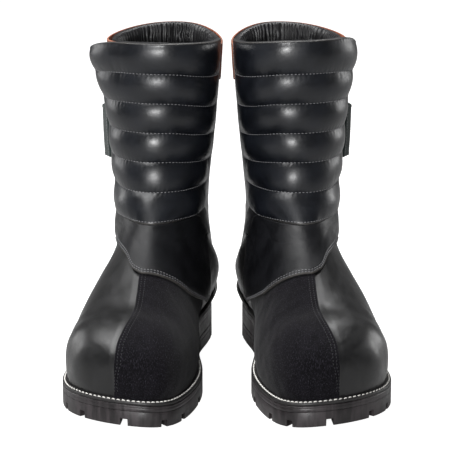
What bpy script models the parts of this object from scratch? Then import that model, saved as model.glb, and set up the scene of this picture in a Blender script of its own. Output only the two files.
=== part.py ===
"""A pair of leather fire boots, built panel by panel over the outer form of a boot.

Metres, +Z up, toes along -Y. The origin is on the ground, at the middle of the pair.
The form is a row of sections. Each one lies in a plane that turns from upright at the toe
to level at the collar. A section runs from the ridge, which is the front centre line, down
both sides to its end: the sole's edge along the foot, and the back seam up the shaft.
A place on the form is (s, u). s counts sections from the toe, and u runs from -1 at the
outer end of a section, through 0 on the ridge, to 1 at its inner end.
The right boot is modelled, and each of its parts is also made mirrored for the left boot.
"""

import math

import bmesh
import bpy
import numpy as np
from mathutils import Matrix, Vector
from mathutils.bvhtree import BVHTree

MM = 0.001

# Driving dimensions
TOE_OUT = math.radians(8.3)
HEEL_AXIS = Vector((-51.5 * MM, 112.6 * MM, 0))
BOOT_HEEL_Y = 110 * MM
FORE_STACK = 21.5 * MM
HEEL_STACK = 34.5 * MM
TOE_SPRING = 5.5 * MM
SPRING_FROM_Y = -80 * MM
SPRING_RUN = 72.5 * MM
TOE_SKEW = 0.28
SKEW_FROM_Y = -40 * MM
SKEW_FULL_Y = -150 * MM
RIM_DIP = 7 * MM
RIM_DIP_OUTER = 3 * MM
FLAP_DIP = 4.5 * MM
INNER_SAG = 6 * MM
GAP = 0.6 * MM
LEATHER = 1.9 * MM
VAMP_SEAM = 1.4 * MM
OVERLAY = 3.2 * MM
LINING_FOOT = -6.8 * MM
LINING_SHAFT = -4.4 * MM
LINING_THICK = 1.1 * MM
ROLLS = 6
FLAP_ROLLS = 5
ROLL_BOTTOM_Z = 132 * MM
COLLAR_Z = 286 * MM
PANEL_LOW = 2.4 * MM
PANEL_RISE = 2.8 * MM
PANEL_THICK = 3.7 * MM
FOLD_U = -0.125
FOLD_SLIT = 0.016
FLAP_EDGE_U = -0.46
PANEL_INNER_U = 0.49
FLARE = 12 * MM
STRAP_LOW_Z = 175 * MM
STRAP_HIGH_Z = 220 * MM
STRAP_END_U = -0.80
STRAP_RISE = 5.4 * MM
STRAP_BOW = 6 * MM
HEEL_BLOCK_TOP = 13.9 * MM
HEEL_BREAST_Y = 62 * MM
NOTCH_WIDTH = 6 * MM
NOTCH_DEPTH = 5 * MM
NOTCH_HEIGHT = 5.5 * MM
ANKLE_SEAM = 17.2
SEAM_BACK = 0.995
LATERAL_BACK = -0.995
QUARTER_SINK = -0.3 * MM
MEDIAL_RISE = 1.9 * MM
HEEL_COVER_RISE = 4.2 * MM
HEEL_COVER_SPREAD = math.radians(98)
CORNER_ROUNDING = 0.045
BAND_RISE = 2.1 * MM
STEPS_PER_ROLL = 3
STITCH_RADIUS = 0.6 * MM

# Sole outline: inner side from the toe to the heel, then the outer side back to the toe
SOLE_OUTLINE = (
    (0, -152.5), (26, -147), (43, -131), (52, -105), (56, -72), (53.5, -42), (45, -8), (38, 28),
    (35, 62), (37, 95), (36, 122), (24, 143), (0, 149.5), (-25, 143), (-38, 122), (-41.5, 95),
    (-44, 62), (-48, 28), (-53, -8), (-57.5, -42), (-59, -72), (-55, -105), (-44, -131), (-25, -147),
)

# Sections, in millimetres: ridge y and z, end y and z, reach to the outer and inner side,
# x of the ridge, and how square the section is. The first 15 ends lie on the sole's edge.
SECTIONS = (
    (-147.5, 50.0, -147.5, 0, 0, 0, 0.0, 2.0),
    (-146.3, 55.0, -146.6, 0, 0, 0, 0.0, 2.0),
    (-142.5, 61.5, -143.0, 0, 24, 24, 0.0, 2.1),
    (-134.0, 69.0, -135.5, 0, 37.5, 37.5, 0.5, 2.3),
    (-121.0, 76.0, -122.0, 0, 45.5, 45, 3.0, 2.45),
    (-105.0, 80.5, -105.0, 0, 50.5, 50, 5.2, 2.45),
    (-87.0, 84.5, -84.0, 0, 54.0, 53, 5.5, 2.25),
    (-70.0, 91.0, -62.0, 0, 55.5, 53.5, 4.5, 2.05),
    (-54.0, 98.8, -35.0, 0, 55.5, 50.5, 3.0, 1.9),
    (-39.5, 106.5, -5.0, 0, 53, 46, 2.5, 1.9),
    (-26.5, 114.5, 28.0, 0, 49.5, 42.5, 2.2, 1.9),
    (-15.0, 123.0, 62.0, 0, 45.5, 43.0, 2.0, 1.9),
    (-5.5, 131.5, 94.0, 0, 42.5, 44.6, 1.8, 1.95),
    (1.5, 139.5, 120.0, 0, 40.5, 45.6, 1.5, 2.0),
    (6.5, 147.5, 136.5, 0, 39.2, 44.8, 1.2, 2.1),
    (10.0, 156.0, 143.3, 34.5, 38.2, 42.6, 1.0, 2.25),
    (13.0, 167.0, 146.0, 58, 37.4, 39.8, 1.0, 2.25),
    (15.0, 180.0, 145.0, 87, 37.8, 37.8, 1.0, 2.2),
    (15.8, 196.0, 139.5, 121, 40.3, 39.2, 1.2, 2.15),
    (15.5, 216.0, 134.5, 162, 42.5, 43.2, 1.8, 2.1),
    (14.5, 239.0, 134.5, 207, 43.5, 46.5, 2.8, 2.15),
    (12.5, 263.0, 137.5, 250, 44.0, 49.0, 3.5, 2.2),
    (10.5, 286.0, 140.5, 286, 44.5, 50.5, 4.0, 2.2),
)
LAST_SOLE_SECTION = 15
TOP = len(SECTIONS) - 1

COLOURS = {
    "smooth_leather": ((0.018, 0.018, 0.020), 0.32, 0.0),
    "suede_leather": ((0.012, 0.012, 0.014), 0.95, 0.0),
    "tan_leather": ((0.17, 0.065, 0.035), 0.55, 0.0),
    "lining_leather": ((0.016, 0.016, 0.018), 0.5, 0.0),
    "welt_leather": ((0.015, 0.015, 0.016), 0.5, 0.0),
    "webbing": ((0.028, 0.036, 0.034), 0.85, 0.0),
    "binding": ((0.020, 0.020, 0.022), 0.8, 0.0),
    "loop_pile": ((0.015, 0.015, 0.016), 0.95, 0.0),
    "elastic": ((0.018, 0.026, 0.022), 0.85, 0.0),
    "rubber": ((0.014, 0.014, 0.015), 0.6, 0.0),
    "thread": ((0.75, 0.74, 0.70), 0.7, 0.0),
    "board": ((0.32, 0.24, 0.16), 0.8, 0.0),
    "foam": ((0.06, 0.06, 0.065), 0.9, 0.0),
    "steel": ((0.45, 0.46, 0.48), 0.35, 1.0),
}


def clear_scene():
    for item in list(bpy.data.objects):
        bpy.data.objects.remove(item, do_unlink=True)


def new_collection(name):
    collection = bpy.data.collections.new(name)
    bpy.context.scene.collection.children.link(collection)
    return collection


def make_material(name):
    colour, roughness, metallic = COLOURS[name]
    material = bpy.data.materials.new(name)
    material.use_nodes = True
    shader = material.node_tree.nodes["Principled BSDF"]
    shader.inputs["Base Color"].default_value = (*colour, 1)
    shader.inputs["Roughness"].default_value = roughness
    shader.inputs["Metallic"].default_value = metallic
    material.diffuse_color = (*colour, 1)
    return material


def smoothstep(low, high, value):
    t = min(max((value - low) / (high - low), 0.0), 1.0)
    return t * t * (3 - 2 * t)


def catmull_rom(table, t):
    """The row of the table at position t, on a smooth curve through its rows."""
    i = min(max(int(t), 0), len(table) - 2)
    f = t - i
    p1 = table[i]
    p2 = table[i + 1]
    p0 = table[i - 1] if i > 0 else 2 * p1 - p2
    p3 = table[i + 2] if i + 2 < len(table) else 2 * p2 - p1
    a = 2 * p1
    b = (p2 - p0) * f
    c = (2 * p0 - 5 * p1 + 4 * p2 - p3) * f * f
    d = (3 * p1 - p0 - 3 * p2 + p3) * f ** 3
    return (a + b + c + d) / 2


def closed_outline(points, per_span):
    """A smooth closed outline through the points, in metres."""
    ring = np.array(points, dtype=float) * MM
    count = len(ring)
    padded = np.vstack((ring[-1:], ring, ring[:2]))
    steps = [1 + k / per_span for k in range(count * per_span)]
    return np.array([catmull_rom(padded, t) for t in steps])


def inset(outline, distance):
    """The outline moved inwards by distance(y)."""
    ahead = np.roll(outline, -1, axis=0) - np.roll(outline, 1, axis=0)
    inwards = np.stack((-ahead[:, 1], ahead[:, 0]), axis=1)
    inwards /= np.linalg.norm(inwards, axis=1)[:, None]
    return outline + inwards * np.array([distance(y) for y in outline[:, 1]])[:, None]


def welt_width(y):
    side = 5 * MM - 1.5 * MM * smoothstep(-10 * MM, 30 * MM, y)
    return side + 2.5 * MM * smoothstep(125 * MM, 149 * MM, y)


class Outline:
    """A closed outline that knows its x at any y on either side."""

    def __init__(self, points):
        toe = int(np.argmin(points[:, 1]))
        ring = np.roll(points, -toe, axis=0)
        heel = int(np.argmax(ring[:, 1]))
        inner = ring[: heel + 1]
        outer = np.vstack((ring[heel:], ring[:1]))[::-1]
        self.sides = {1: inner[np.argsort(inner[:, 1])], -1: outer[np.argsort(outer[:, 1])]}
        self.toe_y = ring[0, 1]
        self.heel_y = ring[heel, 1]

    def reach(self, y, side):
        branch = self.sides[side]
        return side * float(np.interp(y, branch[:, 1], branch[:, 0]))


SOLE_POINTS = closed_outline(SOLE_OUTLINE, 24)
SOLE = Outline(SOLE_POINTS)
FEATHER = Outline(inset(SOLE_POINTS, welt_width))
TABLE = np.array(SECTIONS, dtype=float)
TABLE[:, :7] *= MM


def spring_z(y):
    """How far the sole's underside is off the ground because of the toe spring."""
    return TOE_SPRING * max((SPRING_FROM_Y - y) / SPRING_RUN, 0.0) ** 2


def feather_z(y):
    """Height of the upper's lower edge."""
    return spring_z(y) + FORE_STACK + (HEEL_STACK - FORE_STACK) * smoothstep(-50 * MM, 70 * MM, y)


def bare_skin(s, u):
    """The point of the form at (s, u)."""
    if u < -1:
        u += 2
    if u > 1:
        u -= 2
    ridge_y, ridge_z, end_y, end_z, outer, inner, ridge_x, square = catmull_rom(TABLE, s)
    side = 1 if u >= 0 else -1
    half = (inner if side > 0 else outer) - side * ridge_x
    end_half = 0.0
    if s < LAST_SOLE_SECTION:
        end_z = feather_z(end_y)
        end_half = max(FEATHER.reach(end_y, side) - side * ridge_x, 0.0)
    half = max(half, end_half * 1.03 + 0.3 * MM)
    power = 2 / square
    end_angle = math.pi - math.asin(min((end_half / half) ** (1 / power), 1.0))
    angle = abs(u) * end_angle

    def along(a):
        c = math.cos(a)
        return 1 - math.copysign(abs(c) ** power, c)

    q = along(angle) / along(end_angle)
    x = ridge_x + side * half * max(math.sin(angle), 0.0) ** power
    return Vector((x, ridge_y + (end_y - ridge_y) * q, ridge_z + (end_z - ridge_z) * q))


def skin(s, u, offset=0.0):
    """The point offset outwards from the form at (s, u)."""
    point = bare_skin(s, u)
    if not offset:
        return point
    ds, du = 0.02, 0.006
    along_s = bare_skin(min(s + ds, TOP), u) - bare_skin(max(s - ds, 0.0), u)
    along_u = bare_skin(s, u + du) - bare_skin(s, u - du)
    if s < LAST_SOLE_SECTION and abs(u) + du > 1:
        step = -math.copysign(du, u)
        along_u = (bare_skin(s, u + step) - point) * -math.copysign(1, u)
    return point + along_u.cross(along_s).normalized() * offset


def section_at(z, u, low=8.0):
    """The s at which the form has the height z on the line u."""
    high = float(TOP)
    for _ in range(30):
        middle = (low + high) / 2
        if bare_skin(middle, u).z < z:
            low = middle
        else:
            high = middle
    return high


def through(*points):
    """A function of one value through the points given, straight between them."""
    xs = [p[0] for p in points]
    ys = [p[1] for p in points]
    return lambda value: float(np.interp(value, xs, ys))


def skewed(point):
    """The toe drawn out towards the inner side, as a foot is longest at the big toe."""
    x, y, z = point
    return Vector((x, y - TOE_SKEW * x * smoothstep(-SKEW_FROM_Y, -SKEW_FULL_Y, -y), z))


def placement():
    turn = Matrix.Rotation(-TOE_OUT, 4, "Z")
    return Matrix.Translation(HEEL_AXIS) @ turn @ Matrix.Translation((0, -BOOT_HEEL_Y, 0))


PLACE = placement()
MIRROR = Matrix.Scale(-1, 4, (1, 0, 0))


def both_boots(name, points, faces, material, collection, origin=(0, 0, 0)):
    """The part in the right boot, and the same part mirrored in the left one."""
    made = []
    for side, matrix in (("right", PLACE), ("left", MIRROR @ PLACE)):
        mesh = bpy.data.meshes.new(f"{side}_{name}")
        centre = matrix @ Vector(origin)
        placed = [matrix @ skewed(p) - centre for p in points]
        turned = faces if side == "right" else [(f[0], *reversed(f[1:])) for f in faces]
        mesh.from_pydata(placed, [], turned)
        mesh.shade_smooth()
        if material:
            mesh.materials.append(material)
        part = bpy.data.objects.new(f"{side}_{name}", mesh)
        part.location = centre
        collection.objects.link(part)
        made.append(part)
    return made


def thicken(parts, thickness):
    for part in parts:
        modifier = part.modifiers.new("thickness", "SOLIDIFY")
        modifier.thickness = thickness
        modifier.offset = -1
        modifier.use_even_offset = True


def grid_faces(rows, cols, ring=False, keep=None):
    """Faces of a lattice of points, with normals outwards from the form."""
    width = cols if ring else cols + 1
    faces = []
    for i in range(rows):
        for j in range(cols):
            if keep and not keep(i, j):
                continue
            k = (j + 1) % width
            a = i * width + j
            b = i * width + k
            faces.append((a, b, b + width, a + width))
    return faces


def split_quads(points, quads):
    """Each quad as two triangles, along its shorter diagonal."""
    faces = []
    for a, b, c, d in quads:
        if (points[a] - points[c]).length <= (points[b] - points[d]).length:
            faces += [(a, b, c), (a, c, d)]
        else:
            faces += [(b, c, d), (b, d, a)]
    return faces


def used_only(points, faces):
    """The points that the faces use, and the faces renumbered."""
    used = sorted({k for face in faces for k in face})
    order = {k: n for n, k in enumerate(used)}
    return [points[k] for k in used], [tuple(order[k] for k in face) for face in faces]


def panel(
    name, rows, cols, place, thickness, material, collection, ring=False, keep=None, origin=(0, 0, 0)
):
    """A leather panel: a surface from place(row share, column share), thickened inwards."""
    width = cols if ring else cols + 1
    points = [place(i / rows, j / cols) for i in range(rows + 1) for j in range(width)]
    faces = split_quads(points, grid_faces(rows, cols, ring, keep))
    points, faces = used_only(points, faces)
    parts = both_boots(name, points, faces, material, collection, origin)
    thicken(parts, thickness)
    return parts


def patch(s_low, s_high, u_low, u_high, offset):
    """A place function: columns run from u_low to u_high, and rows between two lines over u."""

    def place(row, col):
        u = u_low + (u_high - u_low) * col
        s = s_low(u) + (s_high(u) - s_low(u)) * row
        return skin(s, u, offset)

    return place


# ---- sole ----


def stations(low, high, count, ends=True):
    """Places along the foot, closer together at round ends."""
    shares = [k / (count - 1) for k in range(count)]
    if ends:
        shares = [(1 - math.cos(math.pi * t)) / 2 for t in shares]
    return [low + (high - low) * t for t in shares]


def slab(name, ys, reach, low_z, high_z, material, collection):
    """A solid layer of the sole, lofted along y between its two sides."""
    points = []
    faces = []
    for y in ys:
        outer = -reach(y, -1)
        inner = reach(y, 1)
        points += [(outer, y, low_z(y)), (inner, y, low_z(y)), (inner, y, high_z(y)), (outer, y, high_z(y))]
    for k in range(len(ys) - 1):
        a = 4 * k
        b = a + 4
        for m in range(4):
            n = (m + 1) % 4
            faces.append((a + m, b + m, b + n, a + n))
    last = 4 * (len(ys) - 1)
    faces.append((0, 1, 2, 3))
    faces.append((last + 3, last + 2, last + 1, last))
    return both_boots(name, points, faces, material, collection)


def inner_reach(distance):
    """Half width of the sole inset by a distance, along the whole foot."""
    shape = Outline(inset(SOLE_POINTS, lambda y: distance))
    return shape.reach, shape.toe_y, shape.heel_y


def ring_layer(name, count, outer_inset, inner_inset, low, high, material, collection):
    """A closed flat ring that follows the sole's edge."""
    outer = Outline(inset(SOLE_POINTS, lambda y: outer_inset))
    inner = Outline(inset(SOLE_POINTS, lambda y: inner_inset))

    def loop(shape):
        ys = stations(shape.toe_y, shape.heel_y, count)
        out = [(shape.reach(y, 1), y) for y in ys]
        return out + [(-shape.reach(y, -1), y) for y in ys[-2:0:-1]]

    outside = loop(outer)
    inside = loop(inner)
    size = len(outside)
    points = []
    for (xo, yo), (xi, yi) in zip(outside, inside):
        points += [
            (xo, yo, feather_z(yo) + low), (xo, yo, feather_z(yo) + high),
            (xi, yi, feather_z(yi) + high), (xi, yi, feather_z(yi) + low),
        ]
    faces = []
    for k in range(size):
        a = 4 * k
        b = 4 * ((k + 1) % size)
        for m in range(4):
            n = (m + 1) % 4
            faces.append((a + m, b + m, b + n, a + n))
    return both_boots(name, points, faces, material, collection)


def notch_cutters(name, spots, collection):
    """Square cutters across the sole's lower edge, as one object for each boot."""
    points = []
    faces = []
    count = len(SOLE_POINTS)
    for share in spots:
        k = int(share * count) % count
        x, y = SOLE_POINTS[k]
        ahead = Vector((*(SOLE_POINTS[(k + 2) % count] - SOLE_POINTS[k - 2]), 0)).normalized()
        inwards = Vector((-ahead.y, ahead.x, 0))
        base = len(points)
        low = spring_z(y) - 4 * MM
        high = spring_z(y) + NOTCH_HEIGHT
        for z in (low, high):
            for a, b in ((-1, -1), (1, -1), (1, 1), (-1, 1)):
                corner = Vector((x, y, z)) + ahead * (a * NOTCH_WIDTH / 2)
                corner += inwards * (b * NOTCH_DEPTH)
                points.append(corner)
        quads = ((3, 2, 1, 0), (4, 5, 6, 7), (0, 1, 5, 4), (1, 2, 6, 5), (2, 3, 7, 6), (3, 0, 4, 7))
        faces += [tuple(base + m for m in quad) for quad in quads]
    cutters = both_boots(name, points, faces, None, collection)
    for cutter in cutters:
        cutter.hide_render = True
        cutter.display_type = "WIRE"
    return cutters


def cut(parts, cutters):
    for part, cutter in zip(parts, cutters):
        modifier = part.modifiers.new("lug_notches", "BOOLEAN")
        modifier.operation = "DIFFERENCE"
        modifier.object = cutter


def outsole_bottom(y):
    """Underside of the outsole: on the ground at the tread, raised at the arch and the heel."""
    arch = 9 * MM * smoothstep(-22 * MM, 12 * MM, y)
    heel = (HEEL_BLOCK_TOP + GAP - 9 * MM) * smoothstep(35 * MM, 60 * MM, y)
    return spring_z(y) + arch + heel


def build_sole(finish, parts, cutters):
    whole = stations(SOLE.toe_y + 0.2 * MM, SOLE.heel_y - 0.2 * MM, 22)
    outsole = slab(
        "outsole", whole, SOLE.reach, outsole_bottom, lambda y: feather_z(y) - 9.2 * MM,
        finish["rubber"], parts,
    )
    fore_spots = (0.012, 0.072, 0.115, 0.165, 0.215, 0.775, 0.82, 0.865, 0.905, 0.948)
    cut(outsole, notch_cutters("outsole_notches", fore_spots, cutters))
    heel = slab(
        "heel_block", stations(HEEL_BREAST_Y, SOLE.heel_y - 0.2 * MM, 11), SOLE.reach,
        lambda y: 0.0, lambda y: HEEL_BLOCK_TOP, finish["rubber"], parts,
    )
    cut(heel, notch_cutters("heel_notches", (0.40, 0.45, 0.5, 0.55, 0.60), cutters))
    slab(
        "midsole", whole, SOLE.reach, lambda y: feather_z(y) - 8.6 * MM, lambda y: feather_z(y) - 4 * MM,
        finish["rubber"], parts,
    )
    ring_layer("welt", 19, 0.5 * MM, 13 * MM, -3.5 * MM, -0.9 * MM, finish["welt_leather"], parts)

    plate_reach, toe, heel_end = inner_reach(14.5 * MM)
    slab(
        "puncture_plate", stations(toe + MM, heel_end - MM, 12), plate_reach,
        lambda y: feather_z(y) - 3.4 * MM, lambda y: feather_z(y) - 2.5 * MM, finish["steel"], parts,
    )
    slab(
        "shank", stations(-28 * MM, 84 * MM, 7, ends=False), lambda y, side: 8 * MM,
        lambda y: feather_z(y) - 1.9 * MM, lambda y: feather_z(y) - 0.5 * MM, finish["steel"], parts,
    )
    board_reach, toe, heel_end = inner_reach(16.5 * MM)
    slab(
        "insole_board", stations(toe + MM, heel_end - 6 * MM, 14), board_reach,
        lambda y: feather_z(y) + 0.4 * MM, lambda y: feather_z(y) + 2.8 * MM, finish["board"], parts,
    )
    slab(
        "footbed", stations(toe + MM, heel_end - 6 * MM, 14), board_reach,
        lambda y: feather_z(y) + 3.4 * MM, lambda y: feather_z(y) + 7.4 * MM, finish["foam"], parts,
    )
    build_welt_stitching(finish["thread"], parts)


def build_welt_stitching(material, collection):
    """One cord of stitches round the forepart, lying on the welt."""
    line = Outline(inset(SOLE_POINTS, lambda y: 2.0 * MM))
    ys = stations(line.toe_y, 24 * MM, 15)
    path = [(line.reach(y, 1), y) for y in ys[::-1]] + [(-line.reach(y, -1), y) for y in ys[1:]]
    for side, matrix in (("right", PLACE), ("left", MIRROR @ PLACE)):
        curve = bpy.data.curves.new(f"{side}_welt_stitching", "CURVE")
        curve.dimensions = "3D"
        curve.bevel_depth = STITCH_RADIUS
        curve.bevel_resolution = 0
        curve.use_fill_caps = True
        spline = curve.splines.new("POLY")
        spline.points.add(len(path) - 1)
        for point, (x, y) in zip(spline.points, path):
            place = skewed((x, y, feather_z(y) - 0.5 * MM + STITCH_RADIUS))
            point.co = (*(matrix @ place), 1)
        curve.materials.append(material)
        collection.objects.link(bpy.data.objects.new(f"{side}_welt_stitching", curve))


# ---- foot ----


def build_vamps(finish, parts):
    top = through(
        (-1, 11.0), (-0.42, 11.0), (-0.35, 11.8), (-0.22, 10.9), (-0.1, 9.8), (0, 9.6),
        (0.4, 9.9), (0.7, 10.5), (1, 11.2),
    )

    def spread(row):
        return row ** 1.3

    def half(side):
        def place(row, col):
            u = col - 1 if side < 0 else col
            point = skin(top(u) * spread(row), u)
            point.x += side * VAMP_SEAM / 2 * (u == 0 or row == 0)
            return point

        return place

    panel("vamp_smooth", 12, 12, half(-1), LEATHER, finish["smooth_leather"], parts)
    panel("vamp_suede", 12, 6, half(1), LEATHER, finish["suede_leather"], parts)


def build_toe_cap(finish, parts):
    place = patch(lambda u: 1.2, lambda u: 5.2, -0.97, 0.97, -3.4 * MM)
    panel("toe_cap", 7, 10, place, 1.2 * MM, finish["steel"], parts)


def build_instep(finish, parts):
    low = through(
        (-0.45, 12.9), (-0.33, 11.5), (-0.22, 10.45), (-0.16, 9.9), (-0.08, 8.7), (0, 8.27),
        (0.2, 8.45), (0.38, 8.72), (0.475, 8.9), (0.585, 9.45), (0.78, 10.7),
    )
    cap = through((0.43, 14.9), (0.5, 13.0), (0.59, 11.9), (0.71, 11.2), (0.78, 10.95))

    def high(u):
        below_rolls = section_at(roll_bottom(u) - 1.2 * MM, u)
        return min(below_rolls, cap(u)) if u > 0.43 else below_rolls

    def place(row, col):
        u = -0.45 + 1.23 * col
        s = low(u) + (high(u) - low(u)) * row
        return skin(s, u, OVERLAY + MEDIAL_RISE * smoothstep(0.45, 0.7, u))

    panel("instep_panel", 5, 17, place, 1.7 * MM, finish["smooth_leather"], parts)


def build_quarters(finish, parts):
    medial_low = through((0.42, 13.4), (0.5, 12.4), (0.62, 11.3), (0.78, 10.85), (1, 11.35))
    lateral_low = through((-1, 12.2), (-0.6, 12.2), (-0.42, 13.0))

    def lateral_seam(u):
        below_rolls = section_at(roll_bottom(u) - 3 * MM, u)
        return min(ANKLE_SEAM, below_rolls) if u > -0.53 else ANKLE_SEAM

    def medial_seam(u):
        below_rolls = section_at(roll_bottom(u) - 3 * MM, u)
        return min(ANKLE_SEAM, below_rolls) if u < 0.505 else ANKLE_SEAM

    medial = patch(medial_low, medial_seam, 0.42, SEAM_BACK, QUARTER_SINK)
    panel("medial_quarter", 9, 13, medial, LEATHER, finish["smooth_leather"], parts)
    lateral = patch(lateral_low, lateral_seam, LATERAL_BACK, -0.42, QUARTER_SINK)
    panel("lateral_quarter", 9, 7, lateral, LEATHER, finish["smooth_leather"], parts)
    elastic = patch(lambda u: 11.12, lambda u: 12.08, -1, -0.42, QUARTER_SINK)
    panel("ankle_elastic", 1, 5, elastic, 1.4 * MM, finish["elastic"], parts)


class HeelForm:
    """Reads the form round the heel by angle and height."""

    def __init__(self):
        points = []
        rows, cols = 44, 48
        for i in range(rows + 1):
            for j in range(cols + 1):
                points.append(bare_skin(9 + 11 * i / rows, -1 + 2 * j / cols))
        self.tree = BVHTree.FromPolygons(points, grid_faces(rows, cols))

    def point(self, angle, z, offset):
        centre = Vector((1 * MM, 96 * MM, z))
        ray = Vector((math.sin(angle), math.cos(angle), 0))
        hit, normal, _, _ = self.tree.ray_cast(centre, ray)
        return hit + normal * (offset if normal.dot(ray) > 0 else -offset)


def build_heel(finish, parts):
    form = HeelForm()

    def cup(top_back, top_side, bottom, offset):
        def place(row, col):
            angle = HEEL_COVER_SPREAD * (1 - 2 * col)
            top = top_side + (top_back - top_side) * math.cos(angle * 0.9) ** 2
            low = HEEL_STACK + bottom
            return form.point(angle, low + (top - low) * row, offset)

        return place

    cover = cup(70 * MM, 47 * MM, 1.4 * MM, HEEL_COVER_RISE)
    panel("heel_cover", 3, 12, cover, 1.7 * MM, finish["smooth_leather"], parts)
    stiffener = cup(66 * MM, 50 * MM, 2.0 * MM, -4.0 * MM)
    panel("heel_stiffener", 3, 12, stiffener, 1.2 * MM, finish["board"], parts)


# ---- shaft ----


def roll_bottom(u):
    """Height of the quilted panel's lower edge, which rises a little to the sides."""
    return ROLL_BOTTOM_Z + 22 * MM * u * u


def rim_dip(u):
    """The collar is lower at its sides than at its front and back, most of all on the inner side."""
    if u < -1:
        u += 2
    return (RIM_DIP if u > 0 else RIM_DIP_OUTER) * math.sin(math.pi * u) ** 2


def roll_height(row, u):
    """Heights on the quilted panel: its top dips at the flap's corner, and its middle rolls sag inwards."""
    top = COLLAR_Z - rim_dip(u) - FLAP_DIP * smoothstep(-0.1, -0.38, u)
    sag = INNER_SAG * math.sin(math.pi * min(max(row, 0.0), 1.0)) * smoothstep(0.08, 0.47, u)
    return roll_bottom(u) + (top - roll_bottom(u)) * row - sag


def roll_offset(row, count):
    """Padding of the quilting at a share of its height."""
    phase = (row * count) % 1.0
    if row * count > count - 1e-6:
        phase = 0.0
    return PANEL_LOW + PANEL_RISE * math.sin(math.pi * phase) ** 0.7


def flare(z, u):
    """How far the flap's free upper corner stands off."""
    return FLARE * smoothstep(208 * MM, 278 * MM, z) * smoothstep(0.16, 0.5, -u)


def panel_point(row, u, extra=0.0):
    z = roll_height(row, u)
    s = section_at(z, u, low=11.0)
    return skin(min(s, TOP - 0.02), u, roll_offset(row, ROLLS) + flare(z, u) + extra)


def edge_u(row):
    """The flap's outer edge, which widens towards the top corner."""
    return FLAP_EDGE_U - 0.035 * smoothstep(0.55, 0.95, row)


def fold_line():
    """Two points on the straight fold, outside the panel's surface."""
    low = panel_point(1 / ROLLS, FOLD_U)
    high = panel_point(1.0, FOLD_U)
    outwards = Vector((-0.25, -0.97, 0)) * (4.5 * MM)
    return low + outwards, high + outwards


def build_shin(finish, parts):
    """The quilted panel, whose outer part is a free flap above the lowest roll."""
    rows = ROLLS * STEPS_PER_ROLL
    cols = 10
    fold_col = 4
    panel_height = COLLAR_Z - ROLL_BOTTOM_Z
    fixed_edge = FOLD_U + FOLD_SLIT / 2
    flap_edge = FOLD_U - FOLD_SLIT / 2
    leather = finish["smooth_leather"]

    def column_u(col):
        j = col * cols
        if j <= fold_col:
            return FLAP_EDGE_U + (fixed_edge - FLAP_EDGE_U) * j / fold_col
        return fixed_edge + (PANEL_INNER_U - fixed_edge) * (j - fold_col) / (cols - fold_col)

    def fixed_place(row, col):
        u = column_u(col)
        if row * rows <= STEPS_PER_ROLL and u < FOLD_U:
            row *= 1 - 0.8 * MM / panel_height * ROLLS
        return panel_point(row, u)

    panel(
        "shin_panel", rows, cols, fixed_place, PANEL_THICK, leather, parts,
        keep=lambda i, j: i < STEPS_PER_ROLL or j >= fold_col,
    )

    hinge = fold_line()[0]
    flap_rows = FLAP_ROLLS * STEPS_PER_ROLL

    def rounding(row, col):
        return CORNER_ROUNDING * smoothstep(0.5, 0.0, col) * smoothstep(0.7, 1.0, row)

    def flap_place(row, col):
        full = (1 + row * FLAP_ROLLS) / ROLLS + 0.4 * MM / panel_height * (1 - row)
        u = edge_u(full) + (flap_edge - edge_u(full)) * col
        return panel_point(full - rounding(row, col), u)

    panel("shin_flap", flap_rows, 4, flap_place, PANEL_THICK, leather, parts, origin=hinge)

    def binding_place(row, col):
        full = (1.1 + row * (FLAP_ROLLS - 0.2)) / ROLLS
        u = edge_u(full) + 0.002 + 0.05 * col
        return panel_point(full - rounding(row, 0.12 * col), u, 2.2 * MM)

    panel("flap_binding", flap_rows, 1, binding_place, 1.1 * MM, finish["binding"], parts, origin=hinge)


def rim_section(u):
    return TOP - 0.03 - rim_dip(u) / (23 * MM)


def build_shaft(finish, parts):
    def rear_place(row, col):
        u = -1.5 + (1.5 - 0.53) * col
        low = ANKLE_SEAM + 0.06
        return skin(low + (rim_section(u) - low) * row, u)

    panel("rear_shaft", 7, 13, rear_place, LEATHER, finish["smooth_leather"], parts)

    def band_place(row, col):
        u = -1.49 + (1.49 - 0.38) * col
        return skin(rim_section(u) - 1.0 + row, u, BAND_RISE)

    panel("collar_band", 2, 15, band_place, 1.4 * MM, finish["tan_leather"], parts)

    def gusset_place(row, col):
        u = -0.515 + (FOLD_U - 0.006 + 0.515) * col
        low = section_at(roll_height(1 / ROLLS, u) + 1.5 * MM, u)
        return skin(low + (rim_section(u) - 1.0 - low) * row, u, -2.5 * MM)

    panel("gusset", 6, 4, gusset_place, 1.0 * MM, finish["lining_leather"], parts)


def build_linings(finish, parts):
    def foot_place(row, col):
        return skin(1.7 + 12.7 * (1 - (1 - row) ** 1.35), -0.955 + 1.91 * col, LINING_FOOT)

    panel("foot_lining", 12, 8, foot_place, LINING_THICK, finish["lining_leather"], parts)

    def shaft_place(row, col):
        s = 15.4 + (rim_section(2 * col - 1) - 0.95 - 15.4) * row
        offset = LINING_FOOT + (LINING_SHAFT - LINING_FOOT) * smoothstep(15.5, 18, s)
        return skin(s, -1 + 2 * col, offset)

    panel("shaft_lining", 6, 18, shaft_place, LINING_THICK, finish["lining_leather"], parts, ring=True)

    def collar_place(row, col):
        u = 2 * col - 1
        return skin(rim_section(u) - 0.8 * (1 - row), u, -2.7 * MM)

    panel("collar_lining", 2, 20, collar_place, 4.6 * MM, finish["lining_leather"], parts, ring=True)


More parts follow.
